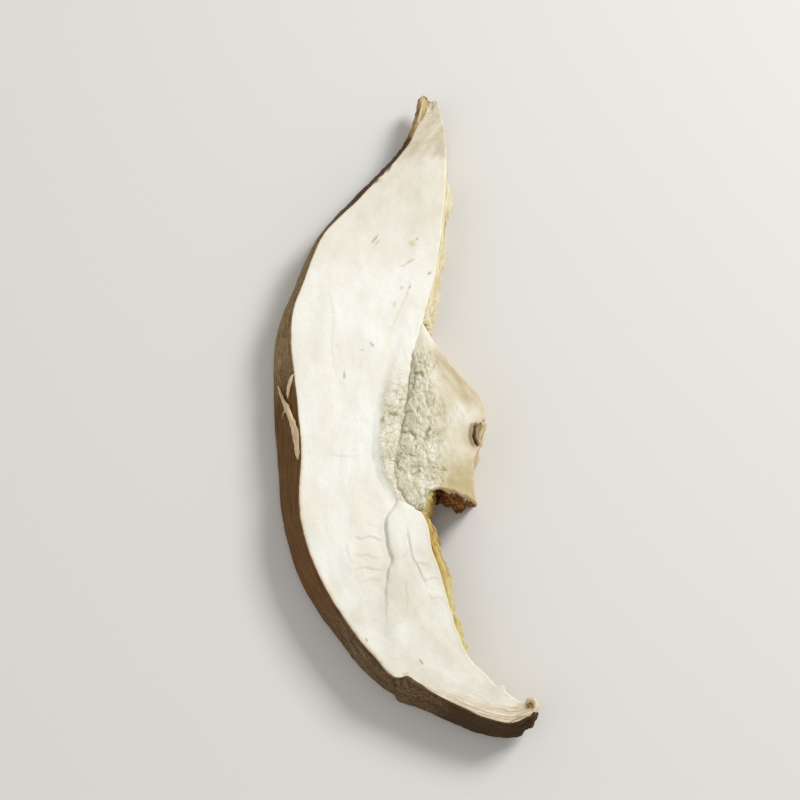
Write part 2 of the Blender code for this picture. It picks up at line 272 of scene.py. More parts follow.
def eased(stops, share):
    """A value that eases from stop to stop, where each stop is (share, value)."""
    places, values = np.transpose(stops)
    index = np.clip(np.searchsorted(places, share, side="right") - 1, 0, len(places) - 2)
    t = (share - places[index]) / (places[index + 1] - places[index])
    return values[index] + (values[index + 1] - values[index]) * smooth_step(t)


def lengths_along(points):
    """How far along their line each of the points lies."""
    return np.append(0, np.cumsum(np.linalg.norm(np.diff(points, axis=0), axis=1)))


def unit(vectors):
    return vectors / np.maximum(np.linalg.norm(vectors, axis=-1, keepdims=True), 1e-9)


def outward(curve, other):
    """Unit directions in plan, square to the curve at each point and away from the other curve."""
    along = np.gradient(curve, axis=0)
    square = unit(np.stack([along[:, 1], -along[:, 0]], axis=1))
    return square * np.sign(np.sum(square * (curve - other), axis=1, keepdims=True))


GRADIENTS = np.array([g for g in product((-1, 0, 1), repeat=3) if np.count_nonzero(g) == 2], float)


def lattice_hash(cells, seed):
    """A whole number from 0 to 2^32 for each whole-numbered cell, the same on each run."""
    primes = np.array([73856093, 19349663, 83492791])[: cells.shape[-1]]
    mixed = (cells @ primes + seed * 26544357).astype(np.uint64)
    for shift, factor in ((15, 2246822519), (13, 3266489917)):
        mixed = (mixed ^ (mixed >> np.uint64(shift))) * np.uint64(factor) & np.uint64(0xFFFFFFFF)
    return mixed ^ (mixed >> np.uint64(16))


def noise(points, size, seed):
    """Smooth noise from about -1 to 1, with lumps as wide as size, which may differ by axis."""
    place = points.reshape(-1, 3) / np.asarray(size, float) + 0.37
    cells = np.floor(place).astype(np.int64)
    inside = place - cells
    weight = inside**3 * (inside * (inside * 6 - 15) + 10)
    total = np.zeros(len(place))
    for corner in product((0, 1), repeat=3):
        slope = GRADIENTS[(lattice_hash(cells + corner, seed) % np.uint64(len(GRADIENTS))).astype(int)]
        share = np.prod(np.where(corner, weight, 1 - weight), axis=1)
        total += share * np.sum(slope * (inside - corner), axis=1)
    return total.reshape(points.shape[:-1])


def fractal(points, size, seed, octaves=3):
    size = np.asarray(size, float)
    return sum(noise(points, size / 2**step, seed + step) / 2**step for step in range(octaves))


def lumps(points, size, seed, octaves=3, fade=1.8):
    """Rounded lumps with sharp creases between them, from 0 up to about 1."""
    size = np.asarray(size, float)
    return sum(np.abs(noise(points, size / 2**step, seed + step)) / fade**step for step in range(octaves))


def grains(plan, size, seed):
    """Of scattered grains: distance to the nearest one's middle, in sizes, how much farther the next one is,
    and a number from 0 to 1 that belongs to the nearest."""
    place = plan.reshape(-1, 2) / np.asarray(size, float)
    cells = np.floor(place).astype(np.int64)
    nearest = np.full(len(place), 9.0)
    second = np.full(len(place), 9.0)
    value = np.zeros(len(place))
    for step in product((-1, 0, 1), repeat=2):
        picked = lattice_hash(cells + step, seed)
        jitter = np.stack([picked & np.uint64(0xFFFF), picked >> np.uint64(16)], axis=1) / 65536.0
        distance = np.linalg.norm(cells + step + jitter - place, axis=1)
        second = np.minimum(second, np.maximum(nearest, distance))
        value = np.where(distance < nearest, (picked % np.uint64(997)).astype(float) / 996, value)
        nearest = np.minimum(nearest, distance)
    shape = plan.shape[:-1]
    return nearest.reshape(shape), (second - nearest).reshape(shape), value.reshape(shape)


def with_height(plan, height):
    return np.concatenate([plan, np.broadcast_to(np.asarray(height)[..., None], (*plan.shape[:-1], 1))], -1)


def nearest_on(line, plan, fineness=8):
    """Distance in plan to a line, above 0 on its left as it runs, and the share along it."""
    count = (len(line) - 1) * fineness + 1
    course = curve_through(line, np.linspace(0, 1, count))
    flat = plan.reshape(-1, 2)
    low, high = course.min(axis=0) - 5, course.max(axis=0) + 5
    close = np.all((flat > low) & (flat < high), axis=1)
    offset = np.where(flat[:, 0] > (low[0] + high[0]) / 2, 99.0, -99.0)
    share = np.clip((course[0, 1] - flat[:, 1]) / (course[0, 1] - course[-1, 1] + 1e-9), 0, 1)
    points = flat[close]
    best = np.full(len(points), 1e9)
    side = np.ones(len(points))
    where = np.zeros(len(points))
    for number, (start, end) in enumerate(zip(course, course[1:])):
        run = end - start
        t = np.clip((points - start) @ run / (run @ run), 0, 1)
        away = points - (start + t[:, None] * run)
        distance = np.hypot(*away.T)
        closer = distance < best
        best[closer] = distance[closer]
        turn = run[0] * (points[:, 1] - start[1]) - run[1] * (points[:, 0] - start[0])
        side[closer] = np.sign(turn[closer])
        where[closer] = (number + t[closer]) / (count - 1)
    offset[close] = best * side
    share[close] = where
    return offset.reshape(plan.shape[:-1]), share.reshape(plan.shape[:-1])


def rounded_drop(distance, radius):
    """How far a surface falls near an edge rounded to the radius."""
    inside = np.clip(radius - distance, 0, radius)
    return radius - np.sqrt(radius**2 - inside**2)


def mark(plan, marks):
    """How strongly each point lies in one of the small oval marks, from 0 to 1."""
    strength = np.zeros(plan.shape[:-1])
    for middle, half_length, half_width, turn in marks:
        away = plan - middle
        angle = np.radians(turn)
        along = away[..., 0] * np.cos(angle) + away[..., 1] * np.sin(angle)
        across = away[..., 1] * np.cos(angle) - away[..., 0] * np.sin(angle)
        inside = np.hypot(along / half_length, across / half_width)
        strength = np.maximum(strength, 1 - above(inside, 0.5, 0.7))
    return strength


class Ribs:
    """The cap's edges, their outward directions and its heights at each share."""

    def __init__(self, share):
        self.share = share
        self.skin = curve_through(SKIN_EDGE, share)
        self.gill = curve_through(GILL_EDGE, share)
        self.skin_out = outward(self.skin, self.gill)
        self.gill_out = outward(self.gill, self.skin)
        inward = unit(self.gill - self.skin)
        free = 1 - above(share, 0.335, 0.015) * below(share, 0.61, 0.015)
        gill, skin = with_height(self.gill, 0.0), with_height(self.skin, 0.0)
        uneven = 0.13 * free * fractal(gill, 2.6, 301) + 0.22 * (1 - free) * fractal(gill, 1.2, 307)
        self.gill = self.gill + self.gill_out * uneven[:, None]
        self.skin = self.skin + self.skin_out * (0.06 * fractal(skin, 2.2, 304))[:, None]
        self.shift = eased(SKIN_EDGE_SHIFT, share)
        slant = np.sum(-inward * self.skin_out, axis=1)
        self.moved = -inward * (self.shift / slant)[:, None]
        self.skin = self.skin + self.moved
        slant = np.sum(inward * self.gill_out, axis=1)
        self.gill = self.gill + inward * (eased(GILL_EDGE_SHIFT, share) / slant)[:, None]
        self.top = SLICE_THICKNESS * eased(TOP_HEIGHT, share)
        self.base = SLICE_THICKNESS * eased(BASE_HEIGHT, share)
        self.spread = SKIN_OVERHANG * eased(SKIN_SPREAD, share)
        self.lean = GILL_DEPTH * eased(GILL_LEAN, share)
        # A rib's skin edge under the names that skin_plan reads.
        self.line, self.out = self.skin, self.skin_out
        self.width = np.linalg.norm(self.gill - self.skin, axis=1)
        self.run = lengths_along((self.skin + self.gill) / 2)


def even_shares(first, last, pitch):
    """Shares that stand an even pitch apart along the cap's middle line."""
    fine = Ribs(np.linspace(first, last, 2000))
    count = int(fine.run[-1] / pitch) + 1
    return np.interp(np.linspace(0, fine.run[-1], count), fine.run, fine.share)


def bulge(fall):
    """How far out the skin side stands at each part of the way down, in spreads."""
    tuck = (1 - SKIN_FOOT) * above(fall, 0.82, 0.18)
    return 0.45 * fall + 0.55 * np.sin(fall * np.pi / 2) - tuck


def skin_plan(course, falls, beyond):
    """Where the skin side stands in plan at each part of the way down, and that much beyond."""
    offset = course.spread[:, None] * bulge(falls) + beyond
    moved = course.moved[:, None] * smooth_step(falls / 0.35)[None, :, None]
    return course.line[:, None] + course.out[:, None] * offset[..., None] - moved


def crumbs(plan):
    """Relief of the torn, crumbly flesh round the stem, about -0.8 to 0.7, and where its crevices are."""
    seed = 40
    points = with_height(plan, 0.0)
    warp = np.stack([fractal(points, 1.3, seed + 1), fractal(points, 1.3, seed + 5)], axis=-1)
    coarse, coarse_gap, coarse_value = grains(plan + 0.6 * warp, (0.85, 1.1), seed)
    fine, fine_gap, fine_value = grains(plan + 0.35 * warp, (0.42, 0.5), seed + 9)
    strands, strand_gap, strand_value = grains(plan + (0.25, 0.6) * warp, (0.5, 2.4), seed + 21)
    stringy = above(plan[..., 1], -3.5, 5) * 0.75
    lump = 0.4 - 0.45 * coarse**2 + 0.5 * (coarse_value - 0.5) * smooth_step(coarse_gap / 0.4)
    thread = 0.3 - 0.3 * strands**2 + 0.4 * (strand_value - 0.5) * smooth_step(strand_gap / 0.4)
    height = lump + (thread - lump) * stringy
    height += 0.14 - 0.42 * fine**2 + 0.34 * (fine_value - 0.5) * smooth_step(fine_gap / 0.4)
    height += 0.3 * fractal(points, 1.6, seed + 15)
    wander = with_height(plan + 0.6 * warp, 0.0)
    long_ones = bell(noise(wander, (1.6, 4.5, 1.0), seed + 31), 0.05)
    short_ones = bell(noise(wander, (2.4, 1.8, 1.0), seed + 35), 0.045)
    crevices = np.maximum(long_ones, 0.8 * short_ones)
    crevices *= smooth_step(fractal(points, 2.4, seed + 12) / 0.4 + 0.6)
    small = 0.35 * bell(coarse_gap, 0.14) + 0.35 * bell(fine_gap, 0.14)
    small *= smooth_step(fractal(points, 2.0, seed + 17) / 0.3 + 0.7)
    return np.clip(height - 0.5 * crevices, -1.0, 0.8), np.clip(crevices + small, 0, 1)


def crease_at_joint(points, share, distance, width):
    """How strong the crease between cap and stem is, and its depth at that strength and distance."""
    strength = eased(CREASE_STRENGTH, share) * np.clip(0.85 + 0.6 * noise(points, 1.3, 311), 0, 1.2)
    return strength, strength * (0.34 * np.exp(-((distance / width) ** 1.3)) + 0.10 * bell(distance, 0.8))


def add_step(height, share, offset):
    """Raises the gill side of the step, and returns how strong the step's sharp lower line is."""
    crisp = eased(STEP_CRISP, share)
    slope = (1 - crisp) * smooth_step(0.5 + offset / eased(STEP_WIDTH, share))
    rise = STEP_HEIGHT * eased(STEP_RISE, share)
    height += rise * (slope + crisp * smooth_step(0.5 + offset / STEP_CRISP_WIDTH))
    # The thin line under the lobe's sharp edge, which the flesh's look paints as a shadow line.
    edge_line = above(share, 0.555, 0.015) * below(share, 0.69, 0.05) * bell(offset + 0.17, 0.10)
    height -= 0.06 * edge_line
    return edge_line


def add_margin_roll(height, share, across):
    """Raises the rolled margin at the upper tip, and returns how far across it reaches."""
    roll = SLICE_THICKNESS * eased(MARGIN_ROLL, share)
    width = MARGIN_ROLL_WIDTH * np.sqrt(np.clip(1 - share / MARGIN_ROLL_END, 0, 1)) + 0.02
    height += roll * (1 - smooth_step(across / width))
    height -= 0.45 * roll * bell(across - width, 0.05)
    return width


def add_ledges(height, share, lay, from_line):
    """Lowers the layers of flesh near the lower tip one by one, and returns where their edges show."""
    ledges = np.zeros(share.shape)
    for number, (place, first) in enumerate(LEDGES):
        course = place + 0.30 * fractal(lay, (2.6, 50.0, 1.0), 320 + 5 * number)
        there = smooth_step((share - first) / 0.04)
        there *= above(noise(lay, (3.6, 50.0, 1.0), 350 + number), -0.30, 0.35)
        height -= 0.05 * there * smooth_step((course - from_line) / 0.14)
        ledges = np.maximum(ledges, there * bell(from_line - course + 0.03, 0.11))
    layered = above(share, 0.77, 0.06)
    height += 0.08 * layered * bell(from_line, 3.2) * (lumps(lay, (1.8, 0.5, 1.0), 19) - 0.4)
    return ledges


def add_folds(height, plan, wobble):
    """Adds the small folds to the height, and returns where their grooves show, for painted shade in them."""
    fold_groove_shade = np.zeros(height.shape)
    for line, rise in FOLDS:
        distance, along = nearest_on(line, plan)
        distance = distance + 1.2 * wobble
        fade = smooth_step(along * 4) * smooth_step((1 - along) * 4)
        beyond = np.exp(-np.clip(distance, 0, None) / FOLD_REACH)
        groove = bell(distance + 0.05, 0.10)
        height += 0.8 * rise * fade * (smooth_step(0.5 + distance / FOLD_SHARPNESS) * beyond - 0.45 * groove)
        fold_groove_shade = np.maximum(fold_groove_shade, groove * fade * rise / 0.13)
    return fold_groove_shade


def flesh_upper(ribs):
    """The cap's upper cut face as a grid of points, and the facts that its colour follows."""
    near = np.array(EDGE_ROWS) / ribs.width[:, None]
    inner = np.linspace(0, 1, UPPER_ROWS - 2 * len(EDGE_ROWS) + 2)[1:-1]
    span = 1 - 2 * near[:, -1:]
    across = np.hstack([near, near[:, -1:] + span * inner, 1 - near[:, ::-1]])
    plan = ribs.skin[:, None] + (ribs.gill - ribs.skin)[:, None] * across[..., None]
    share, run = (np.broadcast_to(value[:, None], across.shape) for value in (ribs.share, ribs.run))
    from_skin = across * ribs.width[:, None]
    from_gill = (1 - across) * ribs.width[:, None]
    points = with_height(plan, 0.0)
    from_line = from_skin - np.linalg.norm(ribs.moved, axis=1)[:, None] * np.sign(ribs.shift)[:, None]
    lay = np.dstack([run, from_line, 0 * across])
    joint = above(share, 0.345, 0.01) * below(share, 0.6, 0.01)

    wobble = 0.10 * fractal(points, 1.4, 3)
    offset = nearest_on(STEP_LINE, plan)[0] + wobble
    height = np.broadcast_to(ribs.top[:, None], across.shape).copy()
    edge_line = add_step(height, share, offset)
    roll_width = add_margin_roll(height, share, across)
    for amount, size, seed in ((0.14, (8.0, 11.0, 1.0), 1), (0.065, (2.4, 3.4, 1.0), 5), (0.012, 0.75, 7)):
        height += amount * fractal(points, size, seed)
    height += 0.05 * fractal(lay, (16.0, 2.6, 1.0), 9, octaves=2)
    height += 0.008 * lumps(lay, (1.6, 0.4, 1.0), 12)

    above_lobe = plan[..., 1] + 14.35 + 0.4 * plan[..., 0] + 1.5 * wobble
    band = above(offset, -0.25, 0.8) * below(plan[..., 1], 4.5, 7) * joint
    band *= smooth_step(above_lobe / 0.4 + 0.5)
    lobe_top = bell(above_lobe, 0.16) * smooth_step(offset / 0.3) * joint
    height -= 0.05 * lobe_top
    relief, cracks = crumbs(plan)
    height += 0.14 * band * relief
    stringy = above(offset, -0.2, 0.8) * joint * (1 - band)
    height += 0.05 * stringy * fractal(lay, (7.0, 0.9, 1.0), 15)
    foot = bell(offset + 0.62, 0.17) * joint * above(share, 0.43, 0.05)
    foot *= np.clip(0.7 + 0.8 * noise(points, 1.2, 313), 0, 1) * above(plan[..., 1], -13.4, 1.2)
    height -= 0.02 * foot
    crease, depth = crease_at_joint(points, share, from_gill, 0.22)
    height -= depth * joint
    ledges = add_ledges(height, share, lay, from_line)
    strips = np.clip(0.7 + 0.9 * fractal(lay, (4.0, 0.4, 1.0), 371, octaves=2), 0.25, 1)
    ledges = np.maximum(ledges, 0.9 * strips * above(share, 0.78, 0.1) * bell(from_skin, 2.4))
    fold_groove_shade = add_folds(height, plan, wobble)
    height -= rounded_drop(from_skin, EDGE_RADIUS)
    height -= rounded_drop(from_gill, EDGE_RADIUS) * (1 - joint)

    patch = np.clip(0.5 + 0.5 * fractal(points, 3.0, 22), 0, 1)
    slanting = np.dstack([plan @ (0.81, -0.59), plan @ (0.59, 0.81), 0 * across])
    streak = fractal(slanting, (0.9, 6.0, 1.0), 24, octaves=2)
    # The tip's tan is partly painted shade where the tip curls down, over a beige tone.
    tip_start = 0.135 - 0.03 * across + 0.03 * (patch - 0.5) + 0.012 * streak
    tip = smooth_step((tip_start - share) / (0.075 - 0.058 * across**2))
    below_stem = above(share, 0.6, 0.02)
    gill_edge = (0.45 + 0.3 * below_stem) * bell(from_gill, 0.18 + 0.14 * below_stem)
    lens = 1 - smooth_step((across - roll_width) / 0.06)
    joint_crease_shade = crease * joint * bell(from_gill, 0.18)
    skin_line = bell(from_skin, 0.34) * (0.2 + 0.8 * above(share, 0.45, 0.04))
    facts = {
        "tan": tip * np.clip(0.84 + 0.12 * patch + 0.6 * streak, 0, 1),
        "lens": lens * below(share, MARGIN_ROLL_END, 0.02) * (0.6 + 0.4 * patch),
        "crumb": band + 0.3 * stringy * patch,
        # Olive tint and painted shade in the crumb's crevices.
        "crevice_tint_and_shade": band * cracks,
        # An olive line at the step's foot, and painted shade in the fold grooves, in the crease at the stem,
        # under the lobe's edge and along its top.
        "olive_line_and_crease_shade": np.maximum.reduce([0.5 * fold_groove_shade, joint_crease_shade, 0.65 * foot, 0.5 * edge_line, 0.5 * lobe_top]),
        "rind": np.maximum(skin_line, ledges),
        "gilly": gill_edge * (1 - joint) * above(eased(GILL_REACH, share), 0.1, 0.4),
        # Painted shade on the gill wall between the plates; none on the upper face.
        "between": 0 * share,
        "brown": 0 * share,
        "shade": np.maximum((0.55 + 0.6 * patch) * below(share, 0.3, 0.14), patch * above(share, 0.6, 0.05)),
    }
    facts.update((name, mark(plan, marks)) for name, marks in FLESH_MARKS.items())
    return with_height(plan, height), lay, facts


def wall_rows(start, end, parts):
    """Rows of points from a start line to an end line, at parts of the way between them."""
    return start[:, None] + (end - start)[:, None] * parts[None, :, None]


def cut_tip(rings, ribs):
    """Draws the upper tip's points in so that its end has a lens, a notch and a point."""
    rib = ribs.gill - ribs.skin
    across = np.sum((rings[..., :2] - ribs.skin[:, None]) * rib[:, None], axis=-1) / (ribs.width**2)[:, None]
    middle = ribs.skin + ribs.gill
    inward = unit(middle[TIP_SHAPE_RIB] - middle[0])
    fade = 1 - smooth_step(ribs.run / TIP_SHAPE_LENGTH)
    shift = eased(TIP_SHAPE, np.clip(across, 0, 1)) * fade[:, None]
    rings[..., :2] += shift[..., None] * inward


def wrapped_facts(facts, ribs, parts):
    """The upper face's facts, carried on over the gill wall, the lower face and the wall behind the skin."""
    share = ribs.share[:, None]
    gills_there = above(share, 0.03, 0.1) * below(share, 0.95, 0.02)
    gills_there *= 1 - above(share, 0.335, 0.01) * below(share, 0.61, 0.01)
    near_tips = np.maximum(below(share, 0.1, 0.03), above(share, 0.9, 0.05))
    full = above(share, 0.12, 0.03) * below(share, 0.8, 0.03)
    beyond = {
        # Painted shade on the gill wall between and behind the plates.
        "between": (gills_there * np.maximum(full, above(parts, 0.1, 0.4)), 0.0, 0.0),
        "tan": (near_tips, near_tips, 0.0),
        "crumb": (0.0, 0.4, 0.0),
        "brown": (0.0, 0.5 * above(share, 0.93, 0.05), 1.0),
    }
    wrapped = {}
    for name, fact in facts.items():
        values = zip(beyond.get(name, (0.0, 0.0, 0.0)), (GILL_WALL_ROWS, LOWER_ROWS, SKIN_WALL_ROWS))
        blocks = [np.broadcast_to(value, (len(share), places)) for value, places in values]
        wrapped[name] = np.concatenate([fact, *blocks], axis=1)
    for name, value in END_TINTS.items():
        wrapped[name][-1] = value
    return wrapped


def make_flesh(ribs, face, look):
    upper, upper_lay, facts = face
    gill_foot = with_height(ribs.gill + ribs.gill_out * ribs.lean[:, None], ribs.base)
    skin_foot = with_height(skin_plan(ribs, np.ones(1), -SKIN_THICKNESS)[:, 0], ribs.base)
    parts = np.linspace(0, 1, GILL_WALL_ROWS + 2)[1:-1]
    gill_wall = wall_rows(upper[:, -1], gill_foot, parts)
    lower = wall_rows(gill_foot, skin_foot, np.linspace(0, 1, LOWER_ROWS))
    falls = np.linspace(1, 0, SKIN_WALL_ROWS + 2)[1:-1]
    side = skin_plan(ribs, falls, -SKIN_THICKNESS * (0.4 + 0.6 * falls))
    edge_height = upper[:, :1, 2]
    skin_wall = with_height(side, edge_height + (ribs.base[:, None] - edge_height) * falls)
    lower[..., 2] += 0.10 * np.abs(fractal(lower, (5.0, 7.0, 1.0), 31)) + 0.03 * lumps(lower, 1.2, 34)
    gill_wall[..., :2] += ribs.gill_out[:, None] * 0.05 * fractal(gill_wall, (1.5, 1.5, 0.5), 37)[..., None]

    rings = np.concatenate([upper, gill_wall, lower, skin_wall], axis=1)
    cut_tip(rings, ribs)
    run = np.broadcast_to(ribs.run[:, None], rings.shape[:2])
    lay = np.dstack([run, rings[..., 0] - rings[..., 1] * 0.2, rings[..., 2]])
    lay[:, :UPPER_ROWS] = upper_lay
    facts = wrapped_facts(facts, ribs, parts)
    return tube("cap_flesh", rings, lay, facts, look, END_ROUNDING)


def ring_quads(index):
    """Faces between each row of point numbers and the next, closed round."""
    turned = np.roll(index, -1, axis=1)
    return np.stack([index[:-1], turned[:-1], turned[1:], index[1:]], axis=-1).reshape(-1, 4)


def closed_ends(rings, rounding):
    """The rings with rounded ends: smaller rings past each end, drawn in to nearly a point."""
    angles = np.radians((18, 36, 54, 70, 82))
    ends = []
    for ring, inner in ((rings[0], rings[8]), (rings[-1], rings[-9])):
        centre = ring.mean(axis=0)
        past = centre - inner.mean(axis=0)
        past *= rounding / np.linalg.norm(past)
        ends.append([centre + (ring - centre) * np.cos(a) + past * np.sin(a) for a in angles])
    return np.concatenate([ends[0][::-1], rings, ends[1]]), len(angles)


def tube(name, rings, lay, facts, look, rounding):
    """A closed piece lofted through the rings, with rounded ends and fans over them."""
    rings, extra = closed_ends(rings, rounding)

    def extended(values):
        return np.concatenate([values[:1]] * extra + [values] + [values[-1:]] * extra)

    def with_tips(values):
        """The values as a flat list, with those of the two end points after them."""
        tips = [values[0].mean(axis=0)], [values[-1].mean(axis=0)]
        return np.concatenate([values.reshape(-1, *values.shape[2:]), *tips])

    count, places = rings.shape[:2]
    index = np.arange(count * places).reshape(count, places)
    turned = np.roll(index, -1, axis=1)
    fans = [(count * places, b, a) for a, b in zip(index[0], turned[0])]
    fans += [(count * places + 1, a, b) for a, b in zip(index[-1], turned[-1])]
    flat = {key: with_tips(extended(values)) for key, values in facts.items()}
    faces = ring_quads(index).tolist() + fans
    return make_piece(name, with_tips(rings), faces, with_tips(extended(lay)), flat, look)


def signed_volume(points, faces):
    corners = points[np.array([face[:3] for face in faces])]
    volume = np.linalg.det(corners).sum()
    fourth = np.array([(face[0], face[2], face[3]) for face in faces if len(face) == 4])
    return volume + (np.linalg.det(points[fourth]).sum() if len(fourth) else 0)


def add_object(name, data, look=None):
    """An object in the scene with the data, and with its look if it has one."""
    if look:
        data.materials.append(look)
    thing = bpy.data.objects.new(name, data)
    bpy.context.scene.collection.objects.link(thing)
    return thing


def make_piece(name, points, faces, lay, facts, look):
    if signed_volume(points - points.mean(axis=0), faces) < 0:
        faces = [tuple(reversed(face)) for face in faces]
    mesh = bpy.data.meshes.new(name)
    mesh.from_pydata(((points - BOX_MIDDLE) * MM).tolist(), [], faces)
    place = mesh.attributes.new("lay", "FLOAT_VECTOR", "POINT")
    place.data.foreach_set("vector", lay.astype(np.float32).ravel())
    for key, values in facts.items():
        mesh.attributes.new(key, "FLOAT", "POINT").data.foreach_set("value", values.astype(np.float32))
    mesh.shade_smooth()
    piece = add_object(name, mesh, look)
    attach(piece, "root")
    return piece


class SkinCourse:
    """Where the skin runs in plan: round the upper tip, down the skin edge and round the lower tip."""

    WRAP_REACH = 0.4
    WRAP_STEPS = 21
    WRAP_DEGREES = (50, 95)
    INNER_RIBS = (9, -10)

    def __init__(self, ribs):
        kept = (ribs.skin, ribs.skin_out, ribs.share, ribs.top, ribs.base, ribs.spread, ribs.moved)
        first, last = self.turn(ribs, 0, kept[2:]), self.turn(ribs, -1, kept[2:])
        joined = [np.concatenate([start[::-1], middle, end]) for start, middle, end in zip(first, kept, last)]
        self.line, self.out, self.share, self.top, self.base, self.spread, self.moved = joined
        self.run = lengths_along(self.line)

    def turn(self, ribs, end, kept):
        """The course round one tip, from the skin edge towards the gills."""
        angle = np.radians(np.linspace(0, self.WRAP_DEGREES[end], self.WRAP_STEPS + 1)[1:])[:, None]
        middle = (ribs.skin + ribs.gill) / 2
        arm = ribs.skin[end] - middle[end]
        past = np.array([-arm[1], arm[0]]) / np.linalg.norm(arm)
        past *= np.sign(past @ (middle[end] - middle[self.INNER_RIBS[end]]))
        line = middle[end] + arm * np.cos(angle) + past * self.WRAP_REACH * np.sin(angle)
        out = arm * np.cos(angle) / np.linalg.norm(arm) + past * np.sin(angle)
        turned = smooth_step(angle / np.radians(60))
        out = unit(ribs.skin_out[end] * (1 - turned) + out * turned)
        return [line, out, *(np.broadcast_to(value[end], (len(angle), *value.shape[1:])) for value in kept)]


def skin_heights(course, falls):
    """Heights of the skin side at each part of the way down."""
    top = course.top[:, None] - SKIN_BELOW_TOP
    return top + (course.base[:, None] - top) * falls


class Skin:
    """The skin's outer surface as a grid, with its folds, fibres and fissures."""

    def __init__(self, ribs):
        course = self.course = SkinCourse(ribs)
        falls = self.falls = np.linspace(0, 1, SKIN_ROWS)
        plan = skin_plan(course, falls, SKIN_PROUD * (1 - 0.6 * falls))
        grid = with_height(plan, skin_heights(course, falls))
        down = lengths_along(grid[len(grid) // 2])
        run = np.broadcast_to(course.run[:, None], grid.shape[:2])
        lay = self.lay = np.dstack([run, np.broadcast_to(down, run.shape), 0 * run])
        share = self.share = np.broadcast_to(course.share[:, None], run.shape)
        normal = unit(np.cross(np.gradient(grid, axis=0), np.gradient(grid, axis=1)))
        normal *= np.sign(np.sum(normal[..., :2] * course.out[:, None], axis=-1, keepdims=True).mean())
        self.normal = normal

        past_fold = self.fold_distance()
        fold = 0.62 * smooth_step(past_fold / 0.22) * np.exp(-np.clip(past_fold, 0, None) / 5)
        fold -= 0.34 * bell(past_fold + 0.10, 0.17)
        tips = above(share, 0.9, 0.08) + below(share, 0.16, 0.08)
        lower = above(share, 0.64, 0.08)
        upper = below(share, 0.37, 0.05)
        relief = 0.10 * fractal(lay, (8.0, 1.9, 1.0), 53)
        relief += (0.02 + 0.08 * lower + 0.06 * upper) * (lumps(lay, (3.2, 0.34, 1.0), 50) - 0.4)
        relief += (0.015 + 0.03 * lower + 0.02 * upper) * fractal(lay, (0.9, 0.5, 1.0), 56)
        relief += tips * (0.26 * (lumps(lay, (1.5, 0.9, 1.0), 59) - 0.35) + 0.10 * fractal(lay, 1.8, 67))
        relief += above(share, 0.93, 0.05) * 0.45 * (lumps(lay, (1.3, 1.6, 1.0), 68, octaves=2) - 0.3)
        fold_gap = bell(past_fold + 0.12, 0.1) * below(lay[..., 1], SKIN_FOLD_GAP_DEPTH, 0.8)
        self.slits = np.maximum(self.fissures(), 0.7 * fold_gap)
        relief += fold - 0.14 * self.slits
        edge_calm = smooth_step(falls / 0.06) * below(falls, 1, 0.05)
        self.grid = grid + normal * (relief * (0.25 + 0.75 * edge_calm))[..., None]
        self.grid[..., 2] = np.maximum(self.grid[..., 2], course.base[:, None] * 0.97 + LOWEST)

    def fold_distance(self):
        """How far each point lies past the curved line where the skin folds over itself."""
        course = self.course
        fold_run = course.run[np.argmin(np.linalg.norm(course.line - SKIN_FOLD_PLACE, axis=1))]
        below_fold = self.lay[..., 1] - SKIN_FOLD_DEPTH
        turning = np.where(below_fold < 0, *SKIN_FOLD_TURNS)
        past_fold = self.lay[..., 0] - fold_run - turning * below_fold**2 / (1 + 0.25 * np.abs(below_fold))
        return past_fold + 0.12 * noise(self.lay, 1.5, 49)

    def fissures(self):
        """Narrow slits in the skin that show the paler layer below it."""
        slits = np.zeros(self.share.shape)
        wander = 0.02 * noise(self.lay, 0.7, 65)
        for first, last, fall, slope, half_width in SKIN_SLITS:
            t = (self.share - first) / (last - first)
            middle = fall + slope * (t - 0.5) + wander
            wide = np.maximum(half_width * np.clip(4 * t * (1 - t), 0, 1), 1e-3)
            slits = np.maximum(slits, bell(self.falls - middle, wide) * (t > 0) * (t < 1))
        return slits

    def at(self, share, fall):
        """Points on the surface, and its normals there."""
        inner = np.arange(SkinCourse.WRAP_STEPS, len(self.share) - SkinCourse.WRAP_STEPS)
        row = np.interp(share, self.share[inner, 0], inner)
        column = np.interp(fall, self.falls, np.arange(len(self.falls)))
        low_row, low_column = row.astype(int), column.astype(int)
        high_row = np.minimum(low_row + 1, len(self.share) - 1)
        high_column = np.minimum(low_column + 1, len(self.falls) - 1)
        down, right = (row - low_row)[..., None], (column - low_column)[..., None]
        found = []
        for grid in (self.grid, self.normal):
            upper = grid[low_row, low_column] * (1 - right) + grid[low_row, high_column] * right
            lower = grid[high_row, low_column] * (1 - right) + grid[high_row, high_column] * right
            found.append(upper * (1 - down) + lower * down)
        return found


